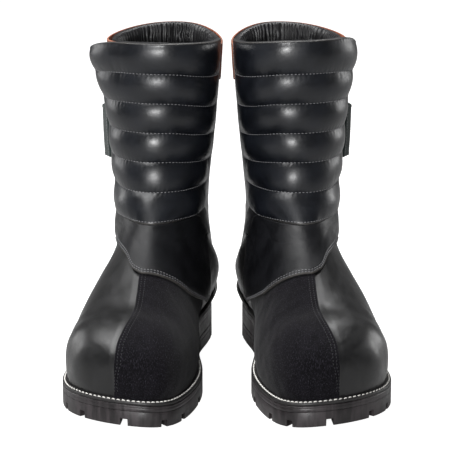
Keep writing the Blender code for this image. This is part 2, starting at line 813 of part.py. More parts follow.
def build_closure(finish, parts):
    def band(low_z, high_z, u_from, u_to, offset):
        def place(row, col):
            u = u_from + (u_to - u_from) * col
            z = low_z + (high_z - low_z) * row
            return skin(section_at(z, u), u, offset)

        return place

    loop = band(STRAP_LOW_Z - 2 * MM, STRAP_HIGH_Z + 2 * MM, STRAP_END_U - 0.03, -0.60, 1.7 * MM)
    panel("loop_patch", 2, 4, loop, 1.1 * MM, finish["loop_pile"], parts)
    root_u = FLAP_EDGE_U - 0.018

    def strap(row, col):
        u = STRAP_END_U + (root_u - STRAP_END_U) * col
        z = STRAP_LOW_Z + (STRAP_HIGH_Z - STRAP_LOW_Z) * row
        bow = smoothstep(root_u, -0.53, u) * smoothstep(-0.7, -0.56, u)
        return skin(section_at(z, u), u, STRAP_RISE + STRAP_BOW * bow)

    root = strap(0.5, 1.0)
    panel("closure_strap", 2, 14, strap, 2.3 * MM, finish["webbing"], parts, origin=root)


def main():
    clear_scene()
    parts = new_collection("fire_boots")
    cutters = new_collection("cutters")
    finish = {name: make_material(name) for name in COLOURS}
    build_sole(finish, parts, cutters)
    build_vamps(finish, parts)
    build_toe_cap(finish, parts)
    build_instep(finish, parts)
    build_quarters(finish, parts)
    build_heel(finish, parts)
    build_shin(finish, parts)
    build_shaft(finish, parts)
    build_linings(finish, parts)
    build_closure(finish, parts)


main()
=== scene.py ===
import math

import bpy
import numpy as np
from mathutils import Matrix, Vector
from mathutils.kdtree import KDTree


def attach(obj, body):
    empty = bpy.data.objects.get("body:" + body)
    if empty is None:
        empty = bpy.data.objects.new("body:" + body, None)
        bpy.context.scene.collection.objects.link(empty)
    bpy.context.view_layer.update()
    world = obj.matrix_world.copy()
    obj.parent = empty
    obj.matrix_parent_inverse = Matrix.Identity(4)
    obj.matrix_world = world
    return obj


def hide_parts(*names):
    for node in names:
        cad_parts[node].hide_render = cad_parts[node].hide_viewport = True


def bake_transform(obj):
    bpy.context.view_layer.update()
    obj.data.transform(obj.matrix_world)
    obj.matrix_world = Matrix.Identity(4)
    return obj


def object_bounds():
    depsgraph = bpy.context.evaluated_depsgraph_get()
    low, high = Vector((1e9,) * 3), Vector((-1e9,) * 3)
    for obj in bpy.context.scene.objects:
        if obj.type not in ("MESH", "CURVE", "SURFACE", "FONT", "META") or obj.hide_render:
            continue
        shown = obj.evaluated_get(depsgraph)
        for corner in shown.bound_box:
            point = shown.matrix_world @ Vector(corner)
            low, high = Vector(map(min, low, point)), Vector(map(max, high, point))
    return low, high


# The looks of a pair of leather fire boots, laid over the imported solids.
# The form is the same row of sections that the solids follow. A place on it is (s, u): s counts
# sections from the toe to the collar, and u runs from -1 at a section's outer end, through 0 on
# the front centre line, to 1 at its inner end. Everything is built for the right boot, in metres,
# and mirrored for the left one, with its own creases.

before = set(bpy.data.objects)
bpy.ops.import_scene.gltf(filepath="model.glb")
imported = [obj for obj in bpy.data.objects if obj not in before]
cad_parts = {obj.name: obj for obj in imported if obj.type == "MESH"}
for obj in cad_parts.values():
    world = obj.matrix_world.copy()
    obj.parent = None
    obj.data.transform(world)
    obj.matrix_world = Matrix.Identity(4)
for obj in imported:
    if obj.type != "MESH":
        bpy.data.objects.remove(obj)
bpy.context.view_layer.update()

MM = 0.001
TOE_OUT = math.radians(8.3)
HEEL_AXIS = (-51.5 * MM, 112.6 * MM)
BOOT_HEEL_Y = 110 * MM
FORE_STACK = 21.5 * MM
HEEL_STACK = 34.5 * MM
TOE_SPRING = 5.5 * MM
SPRING_FROM_Y = -80 * MM
SPRING_RUN = 72.5 * MM
TOE_SKEW = 0.28
SKEW_FROM_Y = -40 * MM
SKEW_FULL_Y = -150 * MM
RIM_DIP = 7 * MM
RIM_DIP_OUTER = 3 * MM
FLAP_DIP = 1.0 * MM
INNER_SAG = 6 * MM
EDGE_RISES = {"right": (0.8 * MM, 0.5 * MM, 3.0 * MM), "left": (3.4 * MM, 3.2 * MM, 0.0)}
SECTION_RISE = 23 * MM
ROLLS = 6
ROLL_BOTTOM_Z = 132 * MM
COLLAR_Z = 286 * MM
FOLD_U = -0.125
FLAP_EDGE_U = -0.46
PANEL_INNER_U = 0.49
FLARES = {"right": 16 * MM, "left": 8 * MM}
STRAP_LOW_Z = 175 * MM
STRAP_HIGH_Z = 220 * MM
STRAP_END_U = -0.80
STRAP_ROOT_U = FLAP_EDGE_U - 0.014
STRAP_RISE = 5.5 * MM
STRAP_BOW = 6 * MM
HEEL_BLOCK_TOP = 13.9 * MM
HEEL_BREAST_Y = 62 * MM
NOTCH_WIDTH = 6 * MM
NOTCH_HEIGHT = 5.5 * MM
ANKLE_SEAM = 17.2
OVERLAY = 3.2 * MM
ROUNDING = (0.12 * MM, 0.35 * MM, 0.7 * MM, 1.1 * MM)
SIDES = ("right", "left")

SOLE_OUTLINE = (
    (0, -152.5), (26, -147), (43, -131), (52, -105), (56, -72), (53.5, -42), (45, -8), (38, 28),
    (35, 62), (37, 95), (36, 122), (24, 143), (0, 149.5), (-25, 143), (-38, 122), (-41.5, 95),
    (-44, 62), (-48, 28), (-53, -8), (-57.5, -42), (-59, -72), (-55, -105), (-44, -131), (-25, -147),
)
SECTIONS = (
    (-147.5, 50.0, -147.5, 0, 0, 0, 0.0, 2.0),
    (-146.3, 55.0, -146.6, 0, 0, 0, 0.0, 2.0),
    (-142.5, 61.5, -143.0, 0, 24, 24, 0.0, 2.1),
    (-134.0, 69.0, -135.5, 0, 37.5, 37.5, 0.5, 2.3),
    (-121.0, 76.0, -122.0, 0, 45.5, 45, 3.0, 2.45),
    (-105.0, 80.5, -105.0, 0, 50.5, 50, 5.2, 2.45),
    (-87.0, 84.5, -84.0, 0, 54.0, 53, 5.5, 2.25),
    (-70.0, 91.0, -62.0, 0, 55.5, 53.5, 4.5, 2.05),
    (-54.0, 98.8, -35.0, 0, 55.5, 50.5, 3.0, 1.9),
    (-39.5, 106.5, -5.0, 0, 53, 46, 2.5, 1.9),
    (-26.5, 114.5, 28.0, 0, 49.5, 42.5, 2.2, 1.9),
    (-15.0, 123.0, 62.0, 0, 45.5, 43.0, 2.0, 1.9),
    (-5.5, 131.5, 94.0, 0, 42.5, 44.6, 1.8, 1.95),
    (1.5, 139.5, 120.0, 0, 40.5, 45.6, 1.5, 2.0),
    (6.5, 147.5, 136.5, 0, 39.2, 44.8, 1.2, 2.1),
    (10.0, 156.0, 143.3, 34.5, 38.2, 42.6, 1.0, 2.25),
    (13.0, 167.0, 146.0, 58, 37.4, 39.8, 1.0, 2.25),
    (15.0, 180.0, 145.0, 87, 37.8, 37.8, 1.0, 2.2),
    (15.8, 196.0, 139.5, 121, 40.3, 39.2, 1.2, 2.15),
    (15.5, 216.0, 134.5, 162, 42.5, 43.2, 1.8, 2.1),
    (14.5, 239.0, 134.5, 207, 43.5, 46.5, 2.8, 2.15),
    (12.5, 263.0, 137.5, 250, 44.0, 49.0, 3.5, 2.2),
    (10.5, 286.0, 140.5, 286, 44.5, 50.5, 4.0, 2.2),
)
LAST_SOLE_SECTION = 15
TOP = len(SECTIONS) - 1


# ---- form ----


def smoothstep(low, high, value):
    t = np.clip((value - low) / (high - low), 0.0, 1.0)
    return t * t * (3 - 2 * t)


def catmull_rom(table, t):
    """The rows of the table at positions t, on a smooth curve through its rows."""
    padded = np.vstack((2 * table[:1] - table[1:2], table, 2 * table[-1:] - table[-2:-1]))
    t = np.asarray(t, dtype=float)
    i = np.clip(t.astype(int), 0, len(table) - 2)
    f = (t - i)[..., None]
    p0, p1, p2, p3 = padded[i], padded[i + 1], padded[i + 2], padded[i + 3]
    curve = 2 * p1 + (p2 - p0) * f + (2 * p0 - 5 * p1 + 4 * p2 - p3) * f * f
    return (curve + (3 * p1 - p0 - 3 * p2 + p3) * f ** 3) / 2


def closed_curve(points, per_span):
    ring = np.array(points, dtype=float)
    padded = np.vstack((ring[-1:], ring, ring[:2]))
    return catmull_rom(padded, 1 + np.arange(len(ring) * per_span) / per_span)


def inset(outline, distance):
    """The outline moved inwards by a distance, which may differ from point to point."""
    ahead = np.roll(outline, -1, axis=0) - np.roll(outline, 1, axis=0)
    inwards = np.stack((-ahead[:, 1], ahead[:, 0]), axis=1)
    inwards /= np.linalg.norm(inwards, axis=1)[:, None]
    return outline + inwards * np.broadcast_to(distance, len(outline))[:, None]


def welt_width(y):
    side = 5 * MM - 1.5 * MM * smoothstep(-10 * MM, 30 * MM, y)
    return side + 2.5 * MM * smoothstep(125 * MM, 149 * MM, y)


class Outline:
    """A closed outline that knows its x at any y on either side."""

    def __init__(self, points):
        ring = np.roll(points, -int(np.argmin(points[:, 1])), axis=0)
        heel = int(np.argmax(ring[:, 1]))
        inner = ring[: heel + 1]
        outer = np.vstack((ring[heel:], ring[:1]))
        self.sides = {1: inner[np.argsort(inner[:, 1])], -1: outer[np.argsort(outer[:, 1])]}
        self.toe_y = ring[0, 1]
        self.heel_y = ring[heel, 1]

    def x(self, y, side):
        branch = self.sides[side]
        return np.interp(y, branch[:, 1], branch[:, 0])


SOLE_POINTS = closed_curve(SOLE_OUTLINE, 24) * MM
SOLE = Outline(SOLE_POINTS)
FEATHER = Outline(inset(SOLE_POINTS, welt_width(SOLE_POINTS[:, 1])))
TABLE = np.array(SECTIONS, dtype=float)
TABLE[:, :7] *= MM


def spring_z(y):
    return TOE_SPRING * np.maximum((SPRING_FROM_Y - y) / SPRING_RUN, 0.0) ** 2


def feather_z(y):
    return spring_z(y) + FORE_STACK + (HEEL_STACK - FORE_STACK) * smoothstep(-50 * MM, 70 * MM, y)


def form(s, u):
    """Points of the form at (s, u)."""
    s, u = np.broadcast_arrays(np.asarray(s, dtype=float), np.asarray(u, dtype=float))
    u = np.where(u < -1, u + 2, np.where(u > 1, u - 2, u))
    row = catmull_rom(TABLE, np.clip(s, 0, TOP))
    ridge_y, ridge_z, end_y, end_z, outer, inner, ridge_x, square = np.moveaxis(row, -1, 0)
    side = np.where(u >= 0, 1.0, -1.0)
    half = np.where(side > 0, inner, outer) - side * ridge_x
    on_sole = s < LAST_SOLE_SECTION
    reach = np.where(side > 0, FEATHER.x(end_y, 1), -FEATHER.x(end_y, -1))
    end_half = np.where(on_sole, np.maximum(reach - side * ridge_x, 0.0), 0.0)
    end_z = np.where(on_sole, feather_z(end_y), end_z)
    half = np.maximum(half, end_half * 1.03 + 0.3 * MM)
    power = 2 / square
    end_angle = math.pi - np.arcsin(np.minimum((end_half / half) ** (1 / power), 1.0))
    angle = np.abs(u) * end_angle

    def along(a):
        c = np.cos(a)
        return 1 - np.sign(c) * np.abs(c) ** power

    q = along(angle) / along(end_angle)
    x = ridge_x + side * half * np.maximum(np.sin(angle), 0.0) ** power
    return np.stack((x, ridge_y + (end_y - ridge_y) * q, ridge_z + (end_z - ridge_z) * q), axis=-1)


def unit(vectors):
    return vectors / np.maximum(np.linalg.norm(vectors, axis=-1, keepdims=True), 1e-12)


def outwards(s, u):
    """Directions straight out of the form at (s, u)."""
    s, u = np.broadcast_arrays(np.asarray(s, dtype=float), np.asarray(u, dtype=float))
    ds, du = 0.02, 0.006
    along_s = form(np.minimum(s + ds, TOP), u) - form(np.maximum(s - ds, 0.0), u)
    along_u = form(s, u + du) - form(s, u - du)
    edge = (s < LAST_SOLE_SECTION) & (np.abs(u) + du > 1)
    turn = np.where(u > 0, 1.0, -1.0)
    inside = (form(s, u) - form(s, u - turn * du)) * turn[..., None]
    return unit(np.cross(np.where(edge[..., None], inside, along_u), along_s))


def section_at(z, u, low=8.0):
    """The s at which the form has the height z on the line u."""
    z, u = np.broadcast_arrays(np.asarray(z, dtype=float), np.asarray(u, dtype=float))
    low = np.full(z.shape, low)
    high = np.full(z.shape, float(TOP))
    for _ in range(22):
        middle = (low + high) / 2
        below = form(middle, u)[..., 2] < z
        low = np.where(below, middle, low)
        high = np.where(below, high, middle)
    return high


def through(*points):
    xs, ys = zip(*points)
    return lambda value: np.interp(value, xs, ys)


def to_world(points, side):
    """Points of the boot in its own frame, placed in the pair."""
    x, y, z = np.moveaxis(np.asarray(points, dtype=float), -1, 0)
    y = y - TOE_SKEW * x * smoothstep(-SKEW_FROM_Y, -SKEW_FULL_Y, -y) - BOOT_HEEL_Y
    world_x = HEEL_AXIS[0] + math.cos(TOE_OUT) * x + math.sin(TOE_OUT) * y
    world_y = HEEL_AXIS[1] - math.sin(TOE_OUT) * x + math.cos(TOE_OUT) * y
    return np.stack((world_x if side == "right" else -world_x, world_y, z), axis=-1)


def ripple(x, y, seed, low, high, count=10):
    """A smooth random relief of about -1 to 1, with between low and high waves to a metre."""
    source = np.random.default_rng(seed)
    total = np.zeros(np.broadcast(x, y).shape)
    for _ in range(count):
        way = source.uniform(0, 2 * math.pi)
        waves = source.uniform(low, high)
        start = source.uniform(0, 2 * math.pi)
        total += np.sin(2 * math.pi * waves * (x * math.cos(way) + y * math.sin(way)) + start)
    return total / math.sqrt(2 * count)


# ---- materials ----


class Paint:
    """A procedural material under construction."""

    def __init__(self, name, colour, roughness, metallic=0.0, sheen=0.0, coat=0.0, specular=0.5):
        self.material = bpy.data.materials.new(name)
        self.material.use_nodes = True
        self.tree = self.material.node_tree
        self.shader = self.tree.nodes["Principled BSDF"]
        settings = {
            "Base Color": (*colour, 1), "Roughness": roughness, "Metallic": metallic, "Sheen Weight": sheen,
            "Sheen Roughness": 0.5, "Coat Weight": coat, "Coat Roughness": 0.22,
            "Specular IOR Level": specular,
        }
        for key, value in settings.items():
            self.shader.inputs[key].default_value = value
        self.height = None

    def feed(self, socket, value):
        """Links the socket to another one, or sets it to a value."""
        if isinstance(value, bpy.types.NodeSocket):
            self.tree.links.new(value, socket)
        else:
            socket.default_value = value

    def add(self, kind, **values):
        node = self.tree.nodes.new(kind)
        for key, value in values.items():
            label = key.replace("_", " ")
            if label in node.inputs:
                self.feed(node.inputs[label], value)
            else:
                setattr(node, key, value)
        return node

    def place(self, flat=True, stretch=(1, 1, 1)):
        """Where a point is on the piece, in metres: on its unrolled face, or in space."""
        node = self.add("ShaderNodeTexCoord")
        source = node.outputs["UV" if flat else "Object"]
        return self.add("ShaderNodeMapping", Vector=source, Scale=stretch).outputs[0]

    def noise(self, where, scale, detail=4.0, rough=0.55, distortion=0.0):
        node = self.add(
            "ShaderNodeTexNoise", Vector=where, Scale=scale, Detail=detail, Roughness=rough,
            Distortion=distortion,
        )
        return node.outputs["Fac"]

    def cells(self, where, scale, feature="F1"):
        node = self.add("ShaderNodeTexVoronoi", feature=feature, Vector=where, Scale=scale)
        return node.outputs["Distance"]

    def math(self, operation, a, b=0.0):
        node = self.tree.nodes.new("ShaderNodeMath")
        node.operation = operation
        for socket, value in zip(node.inputs, (a, b)):
            self.feed(socket, value)
        return node.outputs[0]

    def ramp(self, value, low, high, from_low=0.3, from_high=0.7):
        node = self.tree.nodes.new("ShaderNodeMapRange")
        node.interpolation_type = "SMOOTHSTEP"
        self.tree.links.new(value, node.inputs["Value"])
        numbers = {"From Min": from_low, "From Max": from_high, "To Min": low, "To Max": high}
        for key, number in numbers.items():
            node.inputs[key].default_value = number
        return node.outputs[0]

    def mix(self, share, a, b):
        node = self.tree.nodes.new("ShaderNodeMix")
        node.data_type = "RGBA"
        colours = [i for i in node.inputs if i.type == "RGBA"]
        for socket, value in ((node.inputs[0], share), (colours[0], a), (colours[1], b)):
            self.feed(socket, (*value, 1) if isinstance(value, tuple) else value)
        return next(o for o in node.outputs if o.type == "RGBA")

    def attribute(self, name):
        return self.add("ShaderNodeAttribute", attribute_name=name).outputs["Fac"]

    def set_colour(self, socket):
        self.feed(self.shader.inputs["Base Color"], socket)

    def set_roughness(self, socket):
        self.feed(self.shader.inputs["Roughness"], socket)

    def bump(self, height, distance, strength=1.0):
        """A relief of that depth in metres, on top of those before it."""
        node = self.add("ShaderNodeBump", Height=height, Distance=distance, Strength=strength)
        if self.height is not None:
            self.tree.links.new(self.height, node.inputs["Normal"])
        self.height = node.outputs[0]
        self.tree.links.new(self.height, self.shader.inputs["Normal"])


def times(colour, factor):
    return tuple(c * factor for c in colour)


def leather(
    name, colour, roughness, grain=900, depth=0.05 * MM, worn=(0.06, 0.055, 0.05), coat=0.0, specular=0.5,
):
    """Finished leather: pebbled grain, soft unevenness, and lighter edges, partly rubbed wear and partly a
    painted highlight along the cut edges.
    """
    paint = Paint(name, colour, roughness, coat=coat, specular=specular)
    where = paint.place()
    cloud = paint.noise(where, 55, 3.0)
    fine = paint.noise(where, 420, 5.0, 0.65)
    # Lighter colour along the edges: partly rubbed wear, partly a painted highlight on the cut edge.
    rub_and_highlight = paint.math("MULTIPLY", paint.attribute("wear_and_edge_highlight"), paint.ramp(fine, 0.35, 1.0))
    base = paint.mix(paint.ramp(cloud, 0.0, 1.0), times(colour, 0.72), times(colour, 1.3))
    paint.set_colour(paint.mix(rub_and_highlight, base, worn))
    cloudy = paint.ramp(cloud, roughness * 0.86, roughness * 1.14)
    uneven = paint.math("ADD", cloudy, paint.ramp(fine, -0.03, 0.05))
    paint.set_roughness(paint.math("ADD", uneven, paint.math("MULTIPLY", rub_and_highlight, 0.12)))
    paint.bump(paint.noise(where, 70, 2.0, 0.5, 0.4), 0.55 * MM, 0.35)
    pebbles = paint.math("ADD", paint.cells(where, grain, "SMOOTH_F1"), paint.math("MULTIPLY", fine, 0.6))
    paint.bump(pebbles, depth, 0.6)
    return paint.material


def suede(name, colour):
    """Napped leather, brushed in patches."""
    paint = Paint(name, colour, 0.96, sheen=0.05, specular=0.06)
    where = paint.place()
    patches = paint.noise(where, 70, 5.0, 0.62, 0.8)
    strokes = paint.noise(paint.place(stretch=(1, 0.7, 1)), 800, 4.0, 0.7)
    patchy = paint.ramp(patches, 0.0, 0.5, 0.38, 0.7)
    share = paint.math("ADD", patchy, paint.ramp(strokes, -0.12, 0.25, 0.3, 0.8))
    specks = paint.ramp(paint.noise(where, 1000, 2.0, 0.8), 0.0, 0.8, 0.56, 0.66)
    nap = paint.mix(share, colour, times(colour, 2.6))
    paint.set_colour(paint.mix(specks, nap, times(colour, 13)))
    paint.bump(paint.noise(where, 150, 4.0, 0.6), 0.35 * MM, 0.5)
    paint.bump(strokes, 0.16 * MM, 0.9)
    return paint.material


def webbing(name, colour, thread=0.9 * MM, rib=0.55, contrast=1.9):
    """Woven tape: raised threads across, crossed by finer ones along."""
    paint = Paint(name, colour, 0.82, sheen=0.12, specular=0.25)
    where = paint.place()

    def bands(way, size, distortion):
        return paint.add(
            "ShaderNodeTexWave", wave_type="BANDS", bands_direction=way, Vector=where, Scale=0.31 / size,
            Distortion=distortion, Detail=2.0, Detail_Scale=3.0,
        ).outputs["Fac"]

    across = bands("Y", thread, 0.35)
    along = bands("X", thread * 0.7, 0.3)
    raised = paint.math("MULTIPLY", across, 1 - rib * 0.5)
    weave = paint.math("ADD", raised, paint.math("MULTIPLY", along, rib))
    fuzz = paint.noise(where, 600, 4.0, 0.7)
    lit = paint.math("MULTIPLY", weave, paint.ramp(fuzz, 0.5, 0.9))
    paint.set_colour(paint.mix(lit, colour, times(colour, contrast)))
    paint.bump(weave, 0.22 * MM, 0.8)
    paint.bump(fuzz, 0.08 * MM, 0.8)
    return paint.material


def pile(name, colour, scale=1300):
    """Short loops or hooks of a fastening tape."""
    paint = Paint(name, colour, 0.95, sheen=0.2, specular=0.15)
    where = paint.place()
    tufts = paint.cells(where, scale)
    paint.set_colour(paint.mix(paint.ramp(tufts, 1.0, 0.0, 0.0, 0.7), colour, times(colour, 2.4)))
    paint.bump(paint.math("SUBTRACT", 1.0, tufts), 0.5 * MM, 0.9)
    paint.bump(paint.noise(where, 900, 4.0, 0.7), 0.2 * MM, 0.6)
    return paint.material


def rubber(name, colour, roughness=0.44):
    """Moulded rubber with a buffed edge: fine grain, dull streaks down the side, and dust low down."""
    paint = Paint(name, colour, roughness, specular=0.45)
    where = paint.place(flat=False)
    streaks = paint.noise(paint.place(flat=False, stretch=(1, 1, 0.12)), 190, 5.0, 0.6)
    smudge = paint.noise(where, 60, 4.0, 0.6, 0.5)
    grit = paint.noise(where, 1500, 3.0, 0.7)
    height = paint.add("ShaderNodeSeparateXYZ", Vector=where).outputs["Z"]
    low = paint.ramp(height, 1.0, 0.0, 0.0, 9 * MM)
    dust = paint.math("MULTIPLY", paint.math("MULTIPLY", low, paint.ramp(grit, 0.1, 1.0)), 0.45)
    base = paint.mix(paint.ramp(streaks, 0.0, 1.0, 0.36, 0.66), times(colour, 0.7), times(colour, 2.5))
    paint.set_colour(paint.mix(dust, base, (0.05, 0.045, 0.042)))
    worn = paint.ramp(streaks, roughness * 0.8, roughness * 1.15)
    paint.set_roughness(paint.math("ADD", worn, paint.ramp(smudge, -0.06, 0.1)))
    paint.bump(streaks, 0.12 * MM, 0.6)
    paint.bump(grit, 0.05 * MM, 0.7)
    return paint.material


def thread(name, colour, roughness=0.6):
    """Plied thread."""
    paint = Paint(name, colour, roughness, specular=0.35)
    where = paint.place(flat=False)
    fibre = paint.noise(where, 2600, 3.0, 0.7)
    paint.set_colour(paint.mix(paint.ramp(fibre, 0.0, 1.0), times(colour, 0.6), colour))
    paint.bump(fibre, 0.08 * MM, 0.8)
    return paint.material


def board(name, colour, roughness, metallic=0.0):
    """Sheet stock: pressed fibre or plated steel."""
    paint = Paint(name, colour, roughness, metallic)
    where = paint.place(flat=False)
    fleck = paint.noise(where, 500, 5.0, 0.7)
    paint.set_colour(paint.mix(paint.ramp(fleck, 0.0, 1.0), times(colour, 0.75), colour))
    paint.set_roughness(paint.ramp(fleck, roughness * 0.8, min(roughness * 1.25, 1.0)))
    paint.bump(fleck, 0.04 * MM, 0.5)
    return paint.material


FINISH = {
    # In each leather, worn is the colour of its lighter edges: partly rubbed wear, partly a painted edge
    # highlight.
    "smooth_leather": leather("smooth_leather", (0.0052, 0.0052, 0.0056), 0.38, coat=0.08),
    "quilt_leather": leather("quilt_leather", (0.0038, 0.0047, 0.0072), 0.35, coat=0.12),
    # A duller copy of the leather for the instep. The less glossy finish is its own, and the darker colour
    # is painted shade on the upward-facing instep.
    "instep_leather": leather("instep_leather", (0.0040, 0.0042, 0.0054), 0.42, specular=0.3),
    "suede_leather": suede("suede_leather", (0.0030, 0.0028, 0.0036)),
    "tan_leather": leather("tan_leather", (0.300, 0.098, 0.054), 0.55, 1200, worn=(0.26, 0.13, 0.08)),
    "lining_leather": leather("lining_leather", (0.0058, 0.0056, 0.0066), 0.40, 700, 0.08 * MM),
    "welt_leather": leather("welt_leather", (0.013, 0.012, 0.012), 0.5),
    "webbing": webbing("webbing", (0.014, 0.020, 0.019)),
    "binding": webbing("binding", (0.013, 0.013, 0.014), 0.6 * MM, 0.35),
    "elastic": webbing("elastic", (0.012, 0.020, 0.017), 1.3 * MM, 0.25),
    "loop_pile": pile("loop_pile", (0.012, 0.012, 0.013)),
    "hook_pile": pile("hook_pile", (0.014, 0.014, 0.015), 800),
    "rubber": rubber("rubber", (0.0150, 0.0125, 0.0135)),
    "thread": thread("thread", (0.92, 0.90, 0.86)),
    "grey_thread": thread("grey_thread", (0.20, 0.20, 0.21)),
    "black_thread": thread("black_thread", (0.020, 0.020, 0.022)),
    "dark_thread": thread("dark_thread", (0.24, 0.24, 0.25)),
    "foam": pile("foam", (0.035, 0.035, 0.038), 1800),
    "board": board("board", (0.32, 0.24, 0.16), 0.8),
    "steel": board("steel", (0.45, 0.46, 0.48), 0.35, 1.0),
}


# ---- meshes ----


class Piece:
    """Points and faces of one piece of a boot, in the boot's frame."""

    def __init__(self):
        self.points = []
        self.faces = []
        self.marks = []
        self.flat = []
        self.wear_and_edge_highlight = []
        self.count = 0

    def add(self, points, faces, mark=0, flat=None, wear_and_edge_highlight=None):
        points = np.asarray(points, dtype=float).reshape(-1, 3)
        total = len(points)
        self.points.append(points)
        self.flat.append(np.zeros((total, 2)) if flat is None else np.asarray(flat).reshape(-1, 2))
        self.wear_and_edge_highlight.append(np.zeros(total) if wear_and_edge_highlight is None else np.asarray(wear_and_edge_highlight).reshape(-1))
        self.faces += [tuple(self.count + int(k) for k in face) for face in faces]
        self.marks += [mark] * len(faces)
        self.count += total

    def slab(self, outer, inner, flat, inside=0, wear_and_edge_highlight=None, ring=False):
        """Two faces of one grid, closed by walls round their edges."""
        rows, cols = outer.shape[:2]
        quads = lattice(rows, cols, ring)
        self.add(outer, quads, 0, flat, wear_and_edge_highlight)
        self.add(inner, quads[:, ::-1], inside, flat)
        size = rows * cols
        top = (rows - 1) * cols
        wall = []
        for j in range(cols if ring else cols - 1):
            k = (j + 1) % cols
            wall += [(k, j, size + j, size + k), (top + j, top + k, size + top + k, size + top + j)]
        for a in [] if ring else range(0, top, cols):
            b = a + cols
            wall.append((a, b, size + b, size + a))
            a, b = a + cols - 1, b + cols - 1
            wall.append((b, a, size + a, size + b))
        self.faces += wall
        self.marks += [0] * len(wall)

    def make(self, name, side, finishes, nodes=(), body="boot", sharp=50):
        """The object, riding on its body and standing for the CAD nodes named."""
        mesh = bpy.data.meshes.new(f"{side}_{name}")
        faces = self.faces if side == "right" else [face[::-1] for face in self.faces]
        mesh.from_pydata(to_world(np.vstack(self.points), side).tolist(), [], faces)
        mesh.polygons.foreach_set("material_index", self.marks)
        corners = np.empty(len(mesh.loops), dtype=np.int32)
        mesh.loops.foreach_get("vertex_index", corners)
        layer = mesh.uv_layers.new(name="UVMap")
        layer.data.foreach_set("uv", np.vstack(self.flat)[corners].astype(np.float32).ravel())
        # Per-point edge mask for the leathers: rubbed wear and a painted edge highlight.
        worn = mesh.attributes.new("wear_and_edge_highlight", "FLOAT", "POINT")
        worn.data.foreach_set("value", np.concatenate(self.wear_and_edge_highlight).astype(np.float32))
        mesh.shade_smooth()
        mesh.set_sharp_from_angle(angle=math.radians(sharp))
        finishes = [finishes] if isinstance(finishes, str) else finishes
        for finish in finishes:
            mesh.materials.append(FINISH[finish])
        made = bpy.data.objects.new(f"{side}_{name}", mesh)
        bpy.context.scene.collection.objects.link(made)
        if body:
            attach(made, f"{side}_{body}")
        if nodes:
            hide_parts(*[f"{side}_{node}" for node in nodes])
        return made


def lattice(rows, cols, ring=False):
    """Quads over a grid of points, facing outwards from the form."""
    i = np.arange(rows - 1)[:, None]
    j = np.arange(cols if ring else cols - 1)[None]
    a = i * cols + j
    b = i * cols + (j + 1) % cols
    return np.stack((a, b, b + cols, a + cols), axis=-1).reshape(-1, 4)


def shares(count, length, low=ROUNDING, high=ROUNDING):
    """Even lines from 0 to 1, with closer ones at the distances given from either end."""
    near = np.array(sorted({0.0, *low})) / length
    far = 1 - np.array(sorted({0.0, *high}, reverse=True)) / length
    middle = np.arange(1, count) / count
    middle = middle[(middle > near[-1] + 0.4 / count) & (middle < far[0] - 0.4 / count)]
    return np.concatenate((near, middle, far))


def run_length(points, axis):
    steps = np.linalg.norm(np.diff(points, axis=axis), axis=-1)
    start = np.zeros_like(np.take(steps, [0], axis=axis))
    return np.concatenate((start, np.cumsum(steps, axis=axis)), axis=axis)


